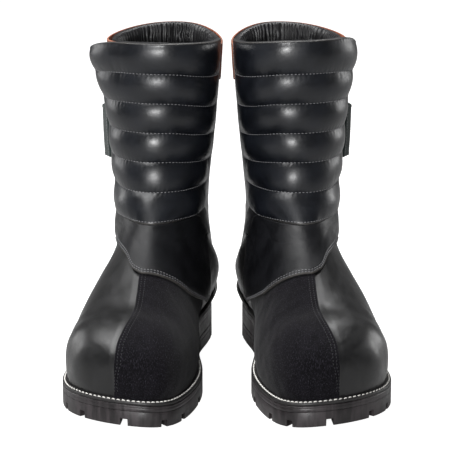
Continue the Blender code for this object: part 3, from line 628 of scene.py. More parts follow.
class Shell:
    """A leather panel: place(v, w) gives s, u and the lift of its outer face at shares up and across.

    Its edges are rounded, relief(shell) adds folds, and thickness is measured inwards."""

    def __init__(
        self, v, w, place, thickness, relief=None, edge=0.8 * MM, edges="LRBT", ring=False, shift=None,
    ):
        v, w = np.broadcast_arrays(v[:, None], w[None])
        self.v = v
        self.s, self.u, lift = [np.broadcast_to(np.asarray(a, dtype=float), v.shape) for a in place(v, w)]
        base = form(self.s, self.u)
        self.normal = outwards(self.s, self.u)
        if shift is not None:
            base = base + shift(self.s, self.u)
        face = base + self.normal * lift[..., None]
        self.across = run_length(face, 1)
        self.up = run_length(face, 0)
        self.far = {
            "L": self.across, "R": self.across[:, -1:] - self.across,
            "B": self.up, "T": self.up[-1:] - self.up,
        }
        nearest = np.full(v.shape, 1.0)
        drop = np.zeros(v.shape)
        for letter in edges:
            near = np.minimum(self.far[letter], edge)
            drop = np.maximum(drop, edge - np.sqrt(np.maximum(edge ** 2 - (edge - near) ** 2, 0)))
            nearest = np.minimum(nearest, self.far[letter])
        self.nearest = nearest
        self.ring = ring
        extra = relief(self) if relief else 0.0
        self.outer = base + self.normal * (lift + extra - drop)[..., None]
        self.inner = base + self.normal * (lift + extra * 0.5 - thickness)[..., None]

    def piece(self, inside=0, wear_and_edge_highlight=1.0):
        """The panel as a closed mesh. inside is the material number of its inner face."""
        flat = np.stack((self.across, self.up), axis=-1)
        # Lighter edges: partly rubbed wear, partly a painted highlight on the cut edge.
        rubbed_and_lit_edge = np.exp(-((self.nearest - 0.5 * MM) / (0.7 * MM)) ** 2) * wear_and_edge_highlight
        made = Piece()
        made.slab(self.outer, self.inner, flat, inside, rubbed_and_lit_edge, self.ring)
        return made

    def folds(self, depth, seed, low, high, fade, start=0.0, squeeze=(1, 1)):
        """Random folds of that depth, which fade out towards the panel's edges."""
        relief = ripple(self.across * squeeze[0], self.up * squeeze[1], seed, low, high)
        return depth * MM * relief * smoothstep(start * MM, fade * MM, self.nearest)

    def line(self, letters, distance, start=0.0, end=0.0):
        """A line on the outer face at that distance from one edge, or from two that meet."""
        runs = []
        for letter in letters:
            far = self.far[letter]
            if letter in "BT":
                far, face, normal = far.T, self.outer.transpose(1, 0, 2), self.normal.transpose(1, 0, 2)
                others = [self.far[o].T for o in letters if o != letter]
            else:
                face, normal = self.outer, self.normal
                others = [self.far[o] for o in letters if o != letter]
            found = []
            for k in range(len(far)):
                order = np.argsort(far[k])
                if far[k][order[-1]] < distance:
                    continue
                t = np.interp(distance, far[k][order], order.astype(float))
                i = int(min(t, len(order) - 2))
                f = t - i
                if any(o[k][i] < distance for o in others):
                    continue
                found.append(np.concatenate((
                    face[k][i] * (1 - f) + face[k][i + 1] * f, normal[k][i] * (1 - f) + normal[k][i + 1] * f,
                )))
            runs.append(np.array(found))
        path = runs[0]
        if len(runs) == 2:
            second = runs[1]
            ends = [(a, b) for a in (0, -1) for b in (0, -1)]
            a, b = min(ends, key=lambda e: np.linalg.norm(path[e[0]][:3] - second[e[1]][:3]))
            path = path[::-1] if a == 0 else path
            second = second if b == 0 else second[::-1]
            path = np.vstack((path, second))
        length = run_length(path[:, :3], 0)
        keep = (length >= start) & (length <= length[-1] - end)
        return path[keep]


STITCH_RINGS = 7
STITCH_SIDES = 6


def tube_points(centre, along, up, long, radius, twist):
    """One stitch: a short rounded length of flattened thread that dips at both ends."""
    across = unit(np.cross(along, up))
    rings = []
    for t in (-1.0, -0.86, -0.45, 0.0, 0.45, 0.86, 1.0):
        size = radius * math.sqrt(max(1 - abs(t) ** 5, 0.03))
        dip = up * (radius * 0.9 * abs(t) ** 3)
        middle = centre + along * (t * long / 2) + across * (twist * t) - dip
        turn = 2 * math.pi * np.arange(STITCH_SIDES)[:, None] / STITCH_SIDES
        rings.append(middle + across * np.cos(turn) * size + up * np.sin(turn) * size * 0.8)
    return np.vstack(rings)


class Seam(Piece):
    """Rows of stitches in one thread. Their measures are in millimetres."""

    def sew(self, path, long=2.1, gap=0.8, radius=0.28, sink=0.08, twist=0.0):
        """A row of stitches along a path of points and normals."""
        if len(path) < 3:
            return
        long, gap, radius, sink, twist = [value * MM for value in (long, gap, radius, sink, twist)]
        length = run_length(path[:, :3], 0)
        pitch = long + gap
        size = STITCH_RINGS * STITCH_SIDES
        faces = lattice(STITCH_RINGS, STITCH_SIDES, ring=True)[:, ::-1]
        caps = [tuple(range(STITCH_SIDES)), tuple(range(size - 1, size - 1 - STITCH_SIDES, -1))]

        def at(place, columns):
            return np.array([np.interp(place, length, path[:, k]) for k in columns])

        for middle in np.arange(pitch / 2, length[-1] - pitch / 2, pitch):
            up = unit(at(middle, range(3, 6)))
            along = unit(at(middle + 0.4 * long, range(3)) - at(middle - 0.4 * long, range(3)))
            centre = at(middle, range(3)) + up * (radius * 0.35 - sink)
            self.add(tube_points(centre, along, up, long, radius, twist), [*faces, *caps])

    def edge(self, shell, *rows, start=3, end=3, **stitch):
        """Rows of stitches along a panel's edges, each at its own distance from them."""
        for letters, distance in rows:
            self.sew(shell.line(letters, distance * MM, start * MM, end * MM), **stitch)

    def make(self, name, side, finish="dark_thread", nodes=(), body="boot"):
        return super().make(name, side, finish, nodes, body, sharp=80)


def loft(piece, rings, capped=True):
    """Rings of points of one size, joined in order. Rings run anticlockwise from above."""
    rings = [np.asarray(ring) for ring in rings]
    size = len(rings[0])
    flat = []
    for ring in rings:
        closed = np.vstack((ring, ring[:1]))
        flat.append(np.stack((run_length(closed, 0)[:-1], ring[:, 2]), axis=1))
    faces = [tuple(face) for face in lattice(len(rings), size, ring=True)]
    if capped:
        faces += [tuple(range(size - 1, -1, -1)), tuple(range(size * (len(rings) - 1), size * len(rings)))]
    piece.add(np.vstack(rings), faces, 0, np.vstack(flat))


def groove(far, distance, depth=0.25):
    """The dent of a row of stitches. Distance and depth are in millimetres."""
    return -(depth * MM) * np.exp(-((far - distance * MM) / (0.5 * MM)) ** 2)


# ---- sole ----

FORE_NOTCHES = (0.012, 0.072, 0.115, 0.165, 0.215, 0.775, 0.82, 0.865, 0.905, 0.948)
HEEL_NOTCHES = (0.40, 0.45, 0.5, 0.55, 0.60)
CHANNEL_DEPTH = 3.2 * MM
TREAD_MARGIN = 16 * MM
CHEVRON_LEAN = 3.5 * MM
LUG_PROFILE = ((0.9 * MM, 0.0), (0.0, 0.8 * MM), (-0.5 * MM, CHANNEL_DEPTH + 1.5 * MM))


def notched_outline(points, spots, spacing=2.2 * MM):
    """The outline with even spacing and crisp notch corners, and a mask that is 1 in the notches."""
    closed = np.vstack((points, points[:1]))
    length = run_length(closed, 0)
    total = length[-1]
    stops = list(np.arange(0, total, spacing))
    middles = [np.interp(spot * len(points), np.arange(len(closed)), length) for spot in spots]
    wall = 0.12 * MM
    half = NOTCH_WIDTH / 2
    for middle in middles:
        stops = [t for t in stops if min(abs(t - middle), total - abs(t - middle)) > half + 0.8 * MM]
        for edge in (-half - wall, -half + wall, -half / 3, half / 3, half - wall, half + wall):
            stops.append((middle + edge) % total)
    stops = np.array(sorted(stops))
    ring = np.stack([np.interp(stops, length, closed[:, k]) for k in range(2)], axis=1)
    mask = np.zeros(len(stops))
    for middle in middles:
        away = np.minimum(np.abs(stops - middle), total - np.abs(stops - middle))
        mask = np.maximum(mask, (away < half).astype(float))
    return ring, mask


def sole_layer(outline, profile):
    """Rings from a profile of (millimetres inwards, heights round the outline), bottom first."""
    return [
        np.column_stack((inset(outline, distance * MM), np.broadcast_to(height, len(outline))))
        for distance, height in profile
    ]


def outsole_bottom(y):
    arch = 9 * MM * smoothstep(-22 * MM, 12 * MM, y)
    heel = (HEEL_BLOCK_TOP + 0.6 * MM - 9 * MM) * smoothstep(35 * MM, 60 * MM, y)
    return spring_z(y) + arch + heel


def tread_blocks(piece, low_y, high_y, bottom, pitch):
    """Rows of chevron lugs under the tread."""
    y = low_y + pitch / 2
    while y < high_y - pitch / 2:
        left = SOLE.x(y, -1) + TREAD_MARGIN
        right = SOLE.x(y, 1) - TREAD_MARGIN
        count = 3 if right - left > 50 * MM else 2
        width = (right - left) / count
        hx, hy = width / 2 - 1.6 * MM, pitch / 2 - 1.8 * MM
        for k in range(count):
            centre = left + width * (k + 0.5)
            sway = CHEVRON_LEAN if k % 2 else -CHEVRON_LEAN
            rings = []
            for shrink, rise in LUG_PROFILE:
                corners = []
                for a, b in ((-1, -1), (0, -1), (1, -1), (1, 1), (0, 1), (-1, 1)):
                    x = centre + a * (hx - shrink)
                    yy = y + b * (hy - shrink) + sway * (1 - abs(a)) * 0.8
                    corners.append((x, yy, float(bottom(yy)) + rise))
                rings.append(corners)
            loft(piece, rings)
        y += pitch


def build_outsole(side):
    ring, mask = notched_outline(SOLE_POINTS, FORE_NOTCHES)
    bottom = outsole_bottom(ring[:, 1])
    top = feather_z(ring[:, 1]) - 8.9 * MM

    def raised(extra):
        return np.minimum(bottom + extra * MM + NOTCH_HEIGHT * mask, top - 1.2 * MM)

    outsole = Piece()
    loft(outsole, sole_layer(ring, [
        (14.5, bottom + CHANNEL_DEPTH), (14.0, raised(0.4)), (13.2, raised(0.0)), (6, raised(0.0)),
        (1.1, raised(0.0)), (0.5, raised(0.12)), (0.12, raised(0.45)), (0.0, raised(1.0)),
        (0.0, top - 0.4 * MM), (0.12, top - 0.12 * MM), (0.5, top), (20, top),
    ]))
    tread_blocks(outsole, -128 * MM, -14 * MM, spring_z, 13 * MM)
    outsole.make("outsole_tread", side, "rubber", ["outsole"], sharp=38)


def build_heel(side):
    at_heel = np.flatnonzero(SOLE_POINTS[:, 1] >= HEEL_BREAST_Y)
    heel_part = SOLE_POINTS[SOLE_POINTS[:, 1] >= HEEL_BREAST_Y]
    low, high = heel_part[0], heel_part[-1]
    breast = []
    for t in np.linspace(0, 1, 14)[1:-1]:
        breast.append(high + (low - high) * t + np.array((0, 2.2 * MM * math.sin(math.pi * t))))
    heel_ring = np.vstack((heel_part, breast))
    spots = [(int(spot * len(SOLE_POINTS)) - at_heel[0]) / len(heel_ring) for spot in HEEL_NOTCHES]
    ring, mask = notched_outline(heel_ring, spots)

    def lift(extra):
        return extra * MM + NOTCH_HEIGHT * mask

    heel = Piece()
    loft(heel, sole_layer(ring, [
        (11.5, CHANNEL_DEPTH), (11.0, lift(0.4)), (10.4, lift(0.0)), (5, lift(0.0)), (1.1, lift(0.0)),
        (0.5, lift(0.12)), (0.12, lift(0.45)), (0.0, lift(1.0)), (0.0, 9.4 * MM), (0.5, 9.9 * MM),
        (0.0, 10.4 * MM), (0.0, HEEL_BLOCK_TOP - 0.4 * MM), (0.5, HEEL_BLOCK_TOP), (11, HEEL_BLOCK_TOP),
    ]))
    tread_blocks(heel, 78 * MM, 138 * MM, lambda y: 0.0, 12 * MM)
    heel.make("heel_tread", side, "rubber", ["heel_block"], sharp=38)


def build_sole(side):
    build_outsole(side)
    build_heel(side)
    ring = notched_outline(SOLE_POINTS, ())[0]
    feather = feather_z(ring[:, 1])

    def below_feather(*profile):
        """Rings from pairs of millimetres inwards and millimetres below the feather line."""
        return sole_layer(ring, [(distance, feather - drop * MM) for distance, drop in profile])

    midsole = Piece()
    loft(midsole, below_feather(
        (20, 8.85), (0.5, 8.85), (0.15, 8.7), (0.0, 8.4), (0.0, 5.9), (0.12, 5.7), (0.12, 5.6), (0.0, 5.4),
        (0.0, 4.5), (0.3, 4.0), (0.8, 3.7), (20, 3.7),
    ))
    midsole.make("midsole_edge", side, "rubber", ["midsole"], sharp=38)

    welt = Piece()
    rings = below_feather(
        (13, 3.5), (0.8, 3.6), (0.25, 3.2), (0.0, 2.5), (0.1, 1.6), (0.5, 1.05), (1.1, 0.85), (1.6, 1.1),
        (2.4, 1.15), (3.0, 0.8), (4.2, 0.65), (13, 0.6),
    )
    loft(welt, [*rings, rings[0]], capped=False)
    welt.make("welt_strip", side, "welt_leather", ["welt"], sharp=60)

    line = Outline(inset(SOLE_POINTS, 2.0 * MM))
    ys = line.toe_y + (26 * MM - line.toe_y) * (1 - np.cos(np.linspace(0, math.pi, 220) / 2))
    inner_run = np.column_stack((line.x(ys, 1), ys))
    outer_run = np.column_stack((line.x(ys, -1), ys))
    flat = np.vstack((inner_run[::-1], outer_run[1:]))
    upright = np.broadcast_to((0, 0, 1), (len(flat), 3))
    stitches = Seam()
    path = np.column_stack((flat, feather_z(flat[:, 1]) - 0.75 * MM, upright))
    stitches.sew(path, 3.3, 0.95, 0.62, -0.12, twist=0.3)
    stitches.make("welt_thread", side, "thread", ["welt_stitching"])


def build_footbed(side):
    bed = Outline(inset(SOLE_POINTS, 16.5 * MM))
    v = shares(70, 0.26)
    w = shares(26, 0.07)
    reach = bed.heel_y - 6.2 * MM - bed.toe_y - 1.2 * MM
    ys = (bed.toe_y + 1.2 * MM) + reach * v[:, None]
    left, right = bed.x(ys, -1), bed.x(ys, 1)
    xs = left + (right - left) * w[None]
    ys = np.broadcast_to(ys, xs.shape)
    edge = np.minimum(w, 1 - w)[None] * (right - left)
    cup = 2.2 * MM * (1 - smoothstep(0.0, 14 * MM, edge)) * smoothstep(-0.02, 0.06, ys)
    arch = 2.5 * MM * np.exp(-((ys - 0.03) / 0.03) ** 2) * smoothstep(0.55, 1.0, w)[None]
    top = feather_z(ys) + 5.6 * MM + cup + arch - 0.9 * MM * (1 - smoothstep(0, 1.1 * MM, edge))
    face = np.stack((xs, ys, top), axis=-1)
    under = np.stack((xs, ys, feather_z(ys) + 3.4 * MM), axis=-1)
    piece = Piece()
    piece.slab(face, under, np.stack((xs, ys), axis=-1))
    piece.make("footbed_cover", side, "foam", ["footbed"])


# ---- foot ----

VAMP_TOP = through(
    (-1, 11.0), (-0.41, 11.05), (-0.35, 12.0), (-0.22, 11.0), (-0.1, 9.8), (0, 9.6), (0.4, 9.9), (0.7, 10.5),
    (1, 11.2),
)
SEAM_LINES = (*ROUNDING, *[mm * MM for mm in (1.8, 2.3, 2.6, 2.9, 3.4, 5.2, 5.6, 5.9, 6.4)])


def toe_shape(shell):
    """The steel cap's edge under the leather: a low ridge and the dip behind it."""
    ridge = 0.5 * MM * np.exp(-((shell.s - 4.7) / 0.7) ** 2)
    dip = 0.6 * MM * np.exp(-((shell.s - 6.1) / 0.7) ** 2)
    return (ridge - dip) * smoothstep(0.95, 0.7, np.abs(shell.u))


def build_vamps(side):
    seed = 11 if side == "right" else 12

    def smooth_place(v, w):
        u = -1 + w
        return VAMP_TOP(u) * v ** 1.3, u, 0.0

    def smooth_relief(shell):
        seam = np.minimum(shell.far["R"], shell.far["B"])
        creases = shell.folds(0.13, seed, 12, 45, 8)
        return toe_shape(shell) + creases - 0.6 * MM * smoothstep(7 * MM, 2 * MM, seam)

    smooth = Shell(shares(120, 0.18), shares(80, 0.09), smooth_place, 1.5 * MM, smooth_relief, edges="T")
    smooth.piece().make("vamp_smooth_skin", side, "smooth_leather", ["vamp_smooth"])

    def suede_place(v, w):
        return VAMP_TOP(w) * v ** 1.3, w, 0.35 * MM

    def overlap(s, u):
        near = np.exp(-(np.minimum(u * 90, s * 9) / 5.0) ** 2)
        return near[..., None] * np.array((-1.3 * MM, -0.35 * MM, 0))

    def suede_relief(shell):
        seam = np.minimum(shell.far["L"], shell.far["B"])
        rows = groove(seam, 2.6, 0.12) + groove(seam, 5.6, 0.12)
        return toe_shape(shell) + rows + shell.folds(0.22, seed + 20, 25, 90, 8)

    v, w = shares(120, 0.18, low=SEAM_LINES), shares(80, 0.09, low=SEAM_LINES)
    suede_shell = Shell(v, w, suede_place, 1.3 * MM, suede_relief, edges="LBT", shift=overlap)
    # The suede gets half the rubbed wear and painted edge highlight.
    suede_shell.piece(wear_and_edge_highlight=0.5).make("vamp_suede_skin", side, "suede_leather", ["vamp_suede"])
    stitches = Seam()
    stitches.edge(suede_shell, ("LB", 2.6), ("LB", 5.6), start=0, long=1.9, gap=0.9, radius=0.3, sink=0.1)
    stitches.make("vamp_thread", side, "black_thread")


def roll_bottom(u):
    return ROLL_BOTTOM_Z + 22 * MM * u * u


def build_instep(side):
    low = through(
        (-0.45, 12.9), (-0.33, 11.5), (-0.22, 10.45), (-0.16, 9.9), (-0.08, 8.7), (0, 8.27),
        (0.2, 8.45), (0.38, 8.72), (0.475, 8.9), (0.585, 9.45), (0.78, 10.7),
    )
    cap = through((0.43, 14.9), (0.5, 13.0), (0.59, 11.9), (0.71, 11.2), (0.78, 10.95))

    def smoothed(line, u, step):
        return sum(line(u + k * step) for k in (-1.5, -0.5, 0.5, 1.5)) / 4

    def place(v, w):
        u = -0.45 + 1.23 * w
        below = section_at(roll_bottom(u) + 1.5 * MM, u)
        start = smoothed(low, u, 0.012)
        high = np.where(u > 0.43, np.minimum(below, smoothed(cap, u, 0.02)), below)
        lift = OVERLAY - 0.4 * MM + 1.9 * MM * smoothstep(0.45, 0.7, u)
        under = 1.6 * MM * smoothstep(0.93, 0.985, v) * smoothstep(-0.5, -0.43, -u)
        return start + (high - start) * v, u, lift - under

    def relief(shell):
        seed = 31 if side == "right" else 32
        rows = groove(shell.far["B"], 2.3, 0.3) + groove(shell.far["B"], 4.8, 0.3)
        fold = 0.3 * MM * np.exp(-((shell.far["B"] - 0.9 * MM) / (0.7 * MM)) ** 2)
        soft = smoothstep(5 * MM, 14 * MM, shell.far["B"]) * smoothstep(0, 8 * MM, shell.far["T"])
        return rows + fold + shell.folds(0.16, seed, 20, 60, 10, squeeze=(0.35, 1)) * soft

    lines = (*ROUNDING, *[mm * MM for mm in (1.6, 2.0, 2.3, 2.6, 3.0, 4.4, 4.8, 5.2)])
    shell = Shell(shares(60, 0.06, low=lines), shares(150, 0.16), place, 1.7 * MM, relief, edge=0.9 * MM)
    # The instep's darker leather colour is painted shade.
    shell.piece().make("instep_skin", side, "instep_leather", ["instep_panel"])
    stitches = Seam()
    stitches.edge(shell, ("B", 2.3), ("B", 4.8), long=2.0, radius=0.36, sink=0.0)
    stitches.make("instep_thread", side, "grey_thread")


def build_quarters(side):
    seed = 41 if side == "right" else 42
    stitches = Seam()

    def relief(shell):
        rows = groove(shell.far["B"], 2.4) + groove(shell.far["T"], 2.4)
        ankle_bone = 3.2 * MM * np.exp(-((shell.s - 13.9) / 1.6) ** 2 - ((shell.u - 0.66) / 0.16) ** 2)
        return shell.folds(0.5, seed, 10, 38, 15, 2, (0.5, 1)) + rows + ankle_bone

    def quarter(low, first_u, span, under_rolls_to):
        """One side's quarter, which ends under the first roll near the front."""
        def place(v, w):
            u = first_u + span * w
            seam = ANKLE_SEAM + 0.14
            below = section_at(roll_bottom(u) + 1 * MM, u)
            high = np.where(np.abs(u) < under_rolls_to, np.minimum(seam, below), seam)
            return low(u) + (high - low(u)) * v, u, 0.3 * MM
        return place

    medial_low = through((0.4, 13.6), (0.5, 12.2), (0.62, 11.2), (0.78, 10.75), (1, 11.25))
    lateral_low = through((-1, 12.2), (-0.6, 12.2), (-0.42, 13.0))
    for name, place in (
        ("medial", quarter(medial_low, 0.4, 0.5995, 0.5)),
        ("lateral", quarter(lateral_low, -0.9995, 0.5795, 0.53)),
    ):
        shell = Shell(shares(90, 0.11), shares(60, 0.08), place, 2.0 * MM, relief)
        shell.piece().make(f"{name}_quarter_skin", side, "smooth_leather", [f"{name}_quarter"])
        stitches.edge(shell, ("B", 2.4), ("T", 2.4), long=1.9)

    def elastic(v, w):
        return 11.0 + 1.25 * v, -1 + 0.58 * w, -0.3 * MM

    def ribs(shell):
        return 0.25 * MM * np.sin(2 * math.pi * shell.up / (2.4 * MM))

    shell = Shell(shares(60, 0.04), shares(40, 0.08), elastic, 1.4 * MM, ribs, edges="BT")
    shell.piece().make("elastic_gore", side, "elastic", ["ankle_elastic"])

    def heel_cover(v, w):
        angle = math.radians(98) * (1 - 2 * w)
        low = HEEL_STACK + 0.4 * MM
        top = 47 * MM + (70 * MM - 47 * MM) * np.cos(angle * 0.9) ** 2
        return (*on_heel(angle, low + (top - low) * v), 3.6 * MM)

    def heel_grooves(shell):
        return groove(shell.far["T"], 2.2, 0.3) + groove(shell.far["T"], 4.6, 0.3)

    cover = Shell(shares(36, 0.03), shares(100, 0.15), heel_cover, 1.7 * MM, heel_grooves)
    cover.piece().make("heel_cover_skin", side, "smooth_leather", ["heel_cover"])
    stitches.edge(cover, ("T", 2.2), ("T", 4.6), long=1.9)
    stitches.make("quarter_thread", side)


def on_heel(angle, z):
    """The (s, u) on the form seen from the heel's centre at each angle and height."""
    s_lines, u_lines = np.meshgrid(np.linspace(10, 18.5, 240), np.linspace(0.25, 1, 160), indexing="ij")
    found_s, found_u = np.zeros(angle.shape), np.zeros(angle.shape)
    for sign in (1, -1):
        points = form(s_lines, u_lines * sign)
        seen = np.arctan2(points[..., 0] - 1 * MM, points[..., 1] - 96 * MM)
        grid = np.column_stack((seen.ravel() * 60 * MM, points[..., 2].ravel()))
        mine = (angle >= 0) if sign > 0 else (angle < 0)
        wanted = np.column_stack((angle[mine] * 60 * MM, z[mine]))
        near, share = nearest_weights(grid, wanted)
        found_s[mine] = (s_lines.ravel()[near] * share).sum(axis=1)
        found_u[mine] = (u_lines.ravel()[near] * share).sum(axis=1) * sign
    return found_s, found_u


def nearest_weights(points, wanted, count=6):
    """The nearest points in a plane to each one wanted, with weights that blend between them."""
    tree = KDTree(len(points))
    for k, (x, y) in enumerate(points):
        tree.insert((x, y, 0), k)
    tree.balance()
    near = np.zeros((len(wanted), count), dtype=int)
    share = np.zeros((len(wanted), count))
    for i, (x, y) in enumerate(wanted):
        for j, (_, k, distance) in enumerate(tree.find_n((x, y, 0), count)):
            near[i, j] = k
            share[i, j] = 1 / (distance + 0.05 * MM) ** 2
    return near, share / share.sum(axis=1, keepdims=True)


# ---- shaft ----


def rim_dip(u):
    u = np.where(u < -1, u + 2, u)
    return np.where(u > 0, RIM_DIP, RIM_DIP_OUTER) * np.sin(math.pi * u) ** 2


def rim_section(u):
    return TOP - 0.03 - rim_dip(u) / SECTION_RISE


def roll_height(row, u):
    top = COLLAR_Z - rim_dip(u) - FLAP_DIP * smoothstep(0.1, 0.38, -u)
    sag = INNER_SAG * np.sin(math.pi * np.clip(row, 0, 1)) * smoothstep(0.08, 0.47, u)
    return roll_bottom(u) + (top - roll_bottom(u)) * row - sag


def edge_u(row):
    """The flap's outer edge, which widens towards the top."""
    return FLAP_EDGE_U - 0.035 * smoothstep(0.55, 0.95, row)


def rounded_corner(row, share):
    """Rows near the flap's top corner, lowered to round it. share runs in from the edge."""
    reach = np.clip(1 - share / 0.28, 0, 1)
    return row - 0.17 * (1 - np.sqrt(1 - 0.97 * reach ** 2)) * smoothstep(0.72, 1.0, row)


def flare(row, u, side):
    z = roll_height(row, u)
    return FLARES[side] * smoothstep(208 * MM, 278 * MM, z) * smoothstep(0.16, 0.5, -u)


def pillow(row):
    """Padding over one roll: narrow stitched valleys and a broad low crown."""
    phase = (row * ROLLS) % 1.0
    crown = (1 - (2 * phase - 1) ** 2) ** 0.85
    upper = (row * ROLLS > ROLLS - 1) & (phase > 0.5)
    crown = np.where(upper, np.maximum(crown, 0.3), crown)
    return np.where(row > 1 - 1e-9, 0.3, crown)


def roll_rows(first, last):
    """Shares up the panel, closer together in the valleys."""
    steps = np.array((
        0.0, 0.02, 0.05, 0.09, 0.15, 0.23, 0.33, 0.44, 0.56, 0.67, 0.77, 0.85, 0.91, 0.95, 0.98,
    ))
    rows = np.concatenate([(k + steps) / ROLLS for k in range(first, last)])
    return np.append(rows, last / ROLLS)


EDGE_STRIP = 5.0 * MM
PANEL_HEIGHT = 154 * MM
CLOTH_SCALE = 10.0
CLOTH_FRAMES = 20
SWELLING = {
    "quality": 5, "mass": 0.3, "air_damping": 3.0, "tension_stiffness": 25, "compression_stiffness": 25,
    "shear_stiffness": 10, "bending_stiffness": 12.0, "vertex_group_mass": "pin", "use_pressure": True,
    "uniform_pressure_force": 3.0, "shrink_min": -0.008,
}


def raised_edge(side):
    """How much higher the quilt's top edge stands: all along, and more towards either corner."""
    level, outer, inner = EDGE_RISES[side]

    def shift(s, u):
        rise = level + outer * smoothstep(0.15, 0.42, -u) + inner * smoothstep(0.0, 0.42, u)
        rise = rise * smoothstep(256 * MM, 284 * MM, form(s, u)[..., 2])
        return rise[..., None] * np.array((0, 0, 1.0))

    return shift


def on_quilt(row, u, side, lift):
    s = np.minimum(section_at(roll_height(row, u), u, 11.0), TOP - 0.02)
    return s, u, lift + flare(row, u, side)


def quilt(side, first, last, u_low, edges, seed):
    """Part of the quilted shin panel, from one stitched valley to another."""
    rows = roll_rows(first, last)
    if last == ROLLS:
        rows = np.concatenate((rows[:-1], 1 - np.array(ROUNDING[::-1]) / PANEL_HEIGHT, [1.0]))
    v = (rows - rows[0]) / (rows[-1] - rows[0])

    def place(a, w):
        row = rows[0] + a * (rows[-1] - rows[0])
        left = u_low(row)
        u = left + (PANEL_INNER_U - left) * w
        row = rounded_corner(row, w) if last == ROLLS else row
        return on_quilt(row, u, side, 1.6 * MM)

    def relief(shell):
        row = rows[0] + shell.v * (rows[-1] - rows[0])
        phase = (row * ROLLS) % 1.0
        step = EDGE_STRIP * (1 if last == ROLLS else 0.3)
        sides = smoothstep(step, step + 24 * MM, shell.far["L"])
        sides = sides * smoothstep(1.5 * MM, 24 * MM, shell.far["R"])
        crown = pillow(row) * 2.9 * MM * (0.1 + 0.9 * sides)
        crown += 0.8 * MM * smoothstep(step - 0.5 * MM, step + 0.5 * MM, shell.far["L"])
        sag = 0.12 * MM * ripple(shell.across, row * 0.15, seed, 10, 30) * pillow(row) ** 2
        valley = np.minimum(phase, 1 - phase) / ROLLS * PANEL_HEIGHT
        density = 0.5 + 0.5 * ripple(shell.across, row * 3, seed + 3, 8, 22)
        pucker = 0.2 * MM * density * np.exp(-((valley - 1.4 * MM) / (1.8 * MM)) ** 2)
        shake = 0.6 * ripple(shell.across, row * 8, seed + 5, 10, 60)
        pucker *= np.sin(2 * math.pi * (shell.across / (4.2 * MM) + shake))
        return crown + (sag + pucker) * sides

    shift = raised_edge(side)
    return Shell(v, shares(170, 0.105), place, 3.5 * MM, relief, edge=1.1 * MM, edges=edges, shift=shift)


def inflate(shell, pinned, limit=0.9 * MM):
    """Lets the padding swell the leather between its stitched lines, in a short cloth simulation."""
    rows, cols = shell.v.shape
    mesh = bpy.data.meshes.new("swelling")
    mesh.from_pydata((shell.outer.reshape(-1, 3) * CLOTH_SCALE).tolist(), [], lattice(rows, cols).tolist())
    sheet = bpy.data.objects.new("swelling", mesh)
    bpy.context.scene.collection.objects.link(sheet)
    group = sheet.vertex_groups.new(name="pin")
    group.add([int(k) for k in np.flatnonzero(pinned.ravel())], 1.0, "REPLACE")
    cloth = sheet.modifiers.new("cloth", "CLOTH")
    for key, value in SWELLING.items():
        setattr(cloth.settings, key, value)
    cloth.settings.effector_weights.gravity = 0.0
    cloth.collision_settings.use_collision = False
    scene = bpy.context.scene
    scene.frame_start, scene.frame_end = 1, CLOTH_FRAMES
    cloth.point_cache.frame_start, cloth.point_cache.frame_end = 1, CLOTH_FRAMES
    for step in range(1, CLOTH_FRAMES + 1):
        scene.frame_set(step)
    swollen = sheet.evaluated_get(bpy.context.evaluated_depsgraph_get())
    places = np.empty(rows * cols * 3, dtype=np.float32)
    swollen.data.vertices.foreach_get("co", places)
    scene.frame_set(1)
    bpy.data.objects.remove(sheet)
    bpy.data.meshes.remove(mesh)
    move = places.reshape(rows, cols, 3) / CLOTH_SCALE - shell.outer
    for _ in range(4):
        move[1:-1] = (move[:-2] + 2 * move[1:-1] + move[2:]) / 4
        move[:, 1:-1] = (move[:, :-2] + 2 * move[:, 1:-1] + move[:, 2:]) / 4
        move[pinned] = 0.0
    length = np.linalg.norm(move, axis=-1, keepdims=True)
    move *= np.minimum(1.0, limit * np.tanh(length / limit) / np.maximum(length, 1e-9))
    shell.outer = shell.outer + move


def stitched(shell, first, last):
    """The points of a quilt that its seams hold still."""
    row = (shell.v * (last - first) + first) % 1.0
    seam = np.minimum(row, 1 - row) < 0.035
    sides = (shell.far["L"] < EDGE_STRIP) | (shell.far["R"] < 3 * MM)
    ends = (shell.far["B"] < 1.2 * MM) | (shell.far["T"] < 4 * MM)
    return seam | sides | ends


def valley_lines(shell, first, last):
    """The stitched valleys of a quilt, as paths."""
    rows = shell.v[:, 0] * (last - first) + first
    found = []
    for k in range(first, last + 1):
        i = int(np.argmin(np.abs(rows - k)))
        if k < ROLLS and abs(rows[i] - k) < 0.02:
            path = np.concatenate((shell.outer[i], shell.normal[i]), axis=1)
            found.append(path[4:-4])
    return found


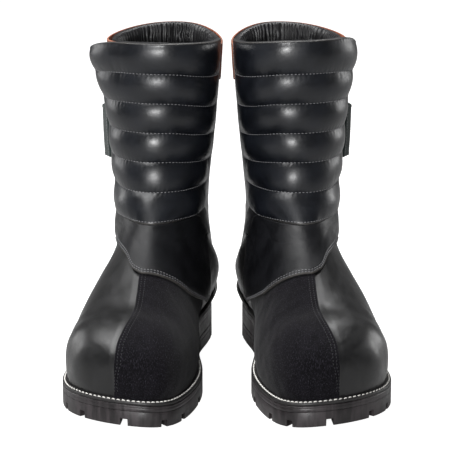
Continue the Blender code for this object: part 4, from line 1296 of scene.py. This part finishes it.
def build_quilt(side):
    seed = 51 if side == "right" else 57
    skins = ["quilt_leather", "lining_leather"]
    lower = quilt(side, 0, 1, lambda row: FLAP_EDGE_U + 0 * row, "LRB", seed)
    inflate(lower, stitched(lower, 0, 1), 0.3 * MM)
    lower_piece = lower.piece(inside=1).make("lower_roll", side, skins, ["shin_panel"])
    upper = quilt(side, 1, ROLLS, edge_u, "LRT", seed + 9)
    inflate(upper, stitched(upper, 1, ROLLS))
    nodes = ["shin_panel", "shin_flap"]
    upper_piece = upper.piece(inside=1).make("shin_quilt", side, skins, nodes, body=None)
    stitches = Seam()
    for path in valley_lines(upper, 1, ROLLS):
        stitches.sew(path, 1.9, 1.3, 0.34, -0.08)
    stitches.edge(upper, ("R", 2.4), start=2, end=4)
    upper_thread = stitches.make("quilt_thread", side, body=None)
    stitches = Seam()
    stitches.edge(lower, ("B", 2.2), radius=0.3, sink=0.1)
    stitches.make("lower_roll_thread", side)

    start, end = fold_ends(side)
    for made in (upper_piece, upper_thread):
        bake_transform(made)

    def tape(v, w):
        row = (1.02 + v * (ROLLS - 1.03)) / ROLLS
        u = edge_u(row) - 0.003 + 0.027 * w
        row = rounded_corner(row, (0.027 * w) / (PANEL_INNER_U - FLAP_EDGE_U))
        return on_quilt(row, u, side, 2.25 * MM)

    v, w = shares(190, 0.12), shares(12, 0.0045, (0.3 * MM,), (0.3 * MM,))
    tape_shell = Shell(v, w, tape, 3.2 * MM, edge=0.6 * MM, shift=raised_edge(side))
    tape_shell.piece().make("flap_edge_tape", side, "binding", ["flap_binding"], body="flap")
    stitches = Seam()
    stitches.edge(tape_shell, ("R", 1.0), start=2, end=2)
    stitches.make("flap_edge_thread", side, body="flap")


def fold_ends(side):
    """Two points across the fold, before and after it."""
    s = section_at(roll_height(0.6, FOLD_U), FOLD_U, 11.0)
    near = form(s, np.array(FOLD_U + 0.03))
    far = form(s, np.array(FOLD_U - 0.05))
    return [tuple(to_world(point, side)) for point in (near, far)]


def build_shaft(side):
    seed = 71 if side == "right" else 73
    back = 0.5 / 0.97

    def rear(v, w):
        u = -1.5 + 0.97 * w
        low = ANKLE_SEAM - 0.1
        return low + (rim_section(u) - 0.07 - low) * v, u, 0.0

    def rear_relief(shell):
        seam = shell.across - shell.across[:, -1:] * back
        strip = 0.55 * MM * smoothstep(7.2 * MM, 6.6 * MM, np.abs(seam))
        return shell.folds(0.45, seed, 8, 26, 12, squeeze=(0.6, 1)) + strip

    shell = Shell(shares(120, 0.19), shares(150, 0.26), rear, 1.7 * MM, rear_relief)
    shell.piece().make("rear_shaft_skin", side, "smooth_leather", ["rear_shaft"])
    stitches = Seam()
    middle = shell.across[:, -1] * back
    for offset in (-5.4 * MM, 5.4 * MM):
        path = []
        for i in range(4, len(shell.v) - 12):
            j = np.interp(middle[i] + offset, shell.across[i], np.arange(shell.v.shape[1]))
            k = int(j)
            spot = shell.outer[i, k] * (1 - (j - k)) + shell.outer[i, k + 1] * (j - k)
            path.append(np.concatenate((spot, shell.normal[i, k])))
        stitches.sew(np.array(path))
    stitches.edge(shell, ("B", 2.2))
    stitches.make("rear_shaft_thread", side)

    def band(v, w):
        u = -1.495 + 1.255 * w
        low = rim_section(u) - 1.0
        from_front = np.where(u < -1, u + 2, -u)
        return low + (1.0 + 0.025) * v, u, 0.3 * MM + 1.8 * MM * smoothstep(0.24, 0.4, from_front)

    def band_relief(shell):
        rows = groove(shell.far["B"], 2.4) + groove(shell.far["T"], 3.2, 0.3)
        return rows + shell.folds(0.2, seed + 1, 20, 70, 4)

    shell = Shell(shares(34, 0.023), shares(170, 0.26), band, 1.5 * MM, band_relief, edge=0.6 * MM)
    shell.piece().make("collar_trim", side, "tan_leather", ["collar_band"])
    stitches = Seam()
    stitches.edge(shell, ("B", 2.4), ("T", 3.2), long=2.0)
    stitches.make("collar_trim_thread", side)

    def gusset(v, w):
        u = -0.515 + (FOLD_U + 0.509) * w
        low = section_at(roll_height(1 / ROLLS, u) + 1.5 * MM, u)
        return low + (rim_section(u) - 1.0 - low) * v, u, -2.5 * MM

    def pleats(shell):
        return shell.folds(0.5, seed + 5, 30, 90, 8, squeeze=(1, 0.2))

    shell = Shell(shares(70, 0.11), shares(40, 0.05), gusset, 1.0 * MM, pleats, edge=0.4 * MM)
    shell.piece().make("gusset_skin", side, "lining_leather", ["gusset"])


COLLAR_PROFILE = (
    (-2.8, -19.5), (-2.7, -12), (-2.6, -5), (-1.3, -2.9), (0.35, -1.9), (0.45, -0.5), (-0.9, 0.55),
    (-3.2, 0.8), (-5.8, -0.2), (-7.6, -3.0), (-8.3, -7.5), (-8.0, -12.5), (-6.6, -16.8),
    (-4.8, -19.0), (-3.9, -20.2),
)


def build_collar(side):
    """The padded collar, whose soft leather is gathered into fine upright pleats."""
    seed = 81 if side == "right" else 87
    profile = closed_curve(COLLAR_PROFILE, 4) * MM
    turns = 520
    u = -1 + 2 * np.arange(turns) / turns
    around = u * 0.17
    rim = rim_section(u)
    behind = smoothstep(0.42, 0.6, np.abs(u))
    inside = smoothstep(-3.4 * MM, -6.5 * MM, profile[:, 0])
    full = 1 - smoothstep(-16 * MM, -20 * MM, profile[:, 1]) * 0.7
    phase = around / (4.4 * MM) + 0.55 * ripple(around, 0 * around, seed, 15, 60)
    strong = 0.62 + 0.38 * ripple(around, 0 * around, seed + 1, 15, 60)
    rows = []
    for k, (offset, rise) in enumerate(profile):
        drift = 0.16 * ripple(around, np.full(turns, rise * 3), seed + 2, 30, 80)
        wave = np.sin(2 * math.pi * (phase + drift))
        pleat = (np.abs(wave) ** 0.7 * np.sign(wave)) * 0.85 * MM * strong * inside[k] * full[k]
        top_wave = 0.25 * MM * np.sin(2 * math.pi * phase) * (1 - inside[k]) * (rise > -3 * MM)
        s = np.clip(rim + min(rise, 0.0) / SECTION_RISE, 0, TOP)
        out = outwards(s, u)
        front = (1 - behind) * (2.9 * MM) * (offset > -2.9 * MM)
        spot = form(s, u) + out * (offset - front - pleat - top_wave)[:, None]
        spot[:, 2] += max(rise, 0.0)
        rows.append(spot)
    grid = np.array(rows)
    flat = np.stack((run_length(grid, 1), run_length(grid, 0)), axis=-1)
    loop = np.concatenate((grid, grid[:1]))
    flat = np.concatenate((flat, flat[-1:] + np.array((0, 2 * MM))))
    piece = Piece()
    piece.add(loop, lattice(len(loop), turns, ring=True)[:, ::-1], 0, flat)
    made = piece.make("gathered_collar", side, "lining_leather", ["collar_lining"], sharp=75)
    s = np.clip(rim - 17.4 * MM / SECTION_RISE, 0, TOP)
    out = outwards(s, u)
    spot = form(s, u) - out * (6.75 * MM)
    path = np.concatenate((spot, -out), axis=1)
    stitches = Seam()
    stitches.sew(np.vstack((path, path[:1])), 2.0, radius=0.3, sink=0.0)
    stitches.make("gathered_collar_thread", side)


def build_linings(side):
    seed = 91 if side == "right" else 95

    def foot(v, w):
        return 1.7 + 12.7 * (1 - (1 - v) ** 1.35), -0.955 + 1.91 * w, -6.8 * MM

    def soft(shell):
        return shell.folds(0.4, seed, 14, 40, 10)

    shell = Shell(shares(90, 0.2), shares(70, 0.18), foot, 1.1 * MM, soft, edges="")
    shell.piece().make("foot_lining_skin", side, "lining_leather", ["foot_lining"])

    def shaft(v, w):
        u = -1 + 2 * w
        s = 15.4 + (rim_section(u) - 0.86 - 15.4) * v
        return s, u, -6.8 * MM + 2.4 * MM * smoothstep(15.5, 18, s)

    def creases(shell):
        return 0.35 * MM * ripple(shell.across * 0.7, shell.up, seed + 1, 12, 34)

    shell = Shell(shares(90, 0.2), np.arange(180) / 180, shaft, 1.1 * MM, creases, edges="", ring=True)
    shell.piece().make("shaft_lining_skin", side, "lining_leather", ["shaft_lining"])


def build_closure(side):
    def patch(v, w):
        u = STRAP_END_U - 0.03 + (-0.60 - (STRAP_END_U - 0.03)) * w
        low, high = STRAP_LOW_Z - 2 * MM, STRAP_HIGH_Z + 2 * MM
        return section_at(low + (high - low) * v, u), u, 1.9 * MM

    shell = Shell(shares(40, 0.049), shares(34, 0.03), patch, 1.2 * MM, edge=0.5 * MM)
    shell.piece().make("loop_tape", side, "loop_pile", ["loop_patch"])

    def strap_relief(shell):
        low, high = [smoothstep(2.6 * MM, 2.0 * MM, shell.far[letter]) for letter in "BT"]
        ribs = 0.1 * MM * np.sin(2 * math.pi * shell.up / (1.5 * MM))
        return 0.3 * MM * (low + high) + ribs

    def strap(v, w):
        u = STRAP_END_U + (STRAP_ROOT_U - STRAP_END_U) * w
        z = STRAP_LOW_Z + (STRAP_HIGH_Z - STRAP_LOW_Z) * v
        bow = smoothstep(-STRAP_ROOT_U, 0.53, -u) * smoothstep(-0.7, -0.56, u)
        return section_at(z, u), u, STRAP_RISE + STRAP_BOW * bow

    shell = Shell(shares(96, 0.045), shares(60, 0.05), strap, 2.3 * MM, strap_relief, edge=0.7 * MM)
    faces = ["webbing", "hook_pile"]
    shell.piece(inside=1).make("strap_webbing", side, faces, ["closure_strap"], body="strap")
    stitches = Seam()
    stitches.edge(shell, ("L", 2.6), ("R", 2.6), long=2.0, radius=0.3, sink=0.05)
    stitches.make("strap_thread", side, body="strap")


def repaint_inner_parts():
    """Hidden stiffeners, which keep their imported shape."""
    for side in SIDES:
        for node in ("toe_cap", "puncture_plate", "shank", "insole_board", "heel_stiffener"):
            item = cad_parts[f"{side}_{node}"]
            finish = "board" if node in ("insole_board", "heel_stiffener") else "steel"
            item.data.materials.clear()
            item.data.materials.append(FINISH[finish])


# ---- studio ----


AMBIENT = 0.13
BACKDROP = 1.05
FLOOR_REACH = 6.0
# Each light: its name, its place, the height it aims at, its width and height, and its power in watts.
LIGHTS = (
    ("key", (-0.42, -2.1, 0.52), 0.17, 0.62, 0.46, 36),
    ("front", (-0.1, -2.0, 1.1), 0.15, 1.3, 1.0, 3),
    ("left_fill", (-1.5, 0.9, 0.4), 0.1, 0.7, 0.7, 5),
    ("left_high", (-1.0, 0.2, 1.5), 0.1, 0.8, 0.6, 10),
    ("right_fill", (1.5, 0.9, 0.4), 0.1, 0.7, 0.7, 6),
    ("overhead", (-0.2, 0.12, 1.5), 0.1, 2.6, 0.5, 36),
)
CAMERA_LENS = 169.68
CAMERA_DISTANCE = 1.8
CAMERA_ABOVE = math.radians(13.5)
CAMERA_TILT = math.radians(90 - 14.03)
CAMERA_TURN = math.radians(0.054)


def build_studio():
    scene = bpy.context.scene
    scene.view_settings.view_transform = "Standard"
    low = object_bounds()[0]
    world = bpy.data.worlds.new("studio")
    scene.world = world
    world.use_nodes = True
    tree = world.node_tree
    background = tree.nodes["Background"]
    backdrop = tree.nodes.new("ShaderNodeBackground")
    for node, strength in ((background, AMBIENT), (backdrop, BACKDROP)):
        node.inputs["Color"].default_value = (1, 1, 1, 1)
        node.inputs["Strength"].default_value = strength
    path = tree.nodes.new("ShaderNodeLightPath")
    mix = tree.nodes.new("ShaderNodeMixShader")
    sources = (path.outputs["Is Camera Ray"], background.outputs[0], backdrop.outputs[0])
    for k, source in enumerate(sources):
        tree.links.new(source, mix.inputs[k])
    tree.links.new(mix.outputs[0], tree.nodes["World Output"].inputs["Surface"])

    mesh = bpy.data.meshes.new("floor")
    corners = [(x * FLOOR_REACH, y * FLOOR_REACH, 0) for x, y in ((-1, -1), (1, -1), (1, 1), (-1, 1))]
    mesh.from_pydata(corners, [], [(0, 1, 2, 3)])
    floor = bpy.data.objects.new("floor", mesh)
    floor.location.z = low.z - 0.2 * MM
    scene.collection.objects.link(floor)
    paint = Paint("floor", (0.4, 0.4, 0.4), 0.9, specular=0.0)
    paint.shader.inputs["Emission Color"].default_value = (1, 1, 1, 1)
    seen = paint.add("ShaderNodeLightPath").outputs["Is Camera Ray"]
    paint.tree.links.new(paint.math("MULTIPLY", seen, 0.97), paint.shader.inputs["Emission Strength"])
    mesh.materials.append(paint.material)

    for name, place, aim_z, width, height, power in LIGHTS:
        data = bpy.data.lights.new(name, "AREA")
        data.shape = "RECTANGLE"
        data.size = width
        data.size_y = height
        data.energy = power
        lamp = bpy.data.objects.new(name, data)
        lamp.location = place
        lamp.rotation_euler = (Vector((0, 0, aim_z)) - Vector(place)).to_track_quat("-Z", "Y").to_euler()
        scene.collection.objects.link(lamp)


def build_camera():
    data = bpy.data.cameras.new("camera")
    data.sensor_width = 36
    data.lens = CAMERA_LENS
    camera = bpy.data.objects.new("camera", data)
    bpy.context.scene.collection.objects.link(camera)
    out = CAMERA_DISTANCE * math.cos(CAMERA_ABOVE)
    camera.location = (0, -out, 0.15 + CAMERA_DISTANCE * math.sin(CAMERA_ABOVE))
    camera.rotation_euler = (CAMERA_TILT, 0, CAMERA_TURN)
    bpy.context.scene.camera = camera


build_camera()
BUILDERS = (
    build_sole, build_footbed, build_vamps, build_instep, build_quarters, build_quilt, build_shaft,
    build_collar, build_linings, build_closure,
)
for boot in SIDES:
    for build in BUILDERS:
        build(boot)
repaint_inner_parts()
build_studio()
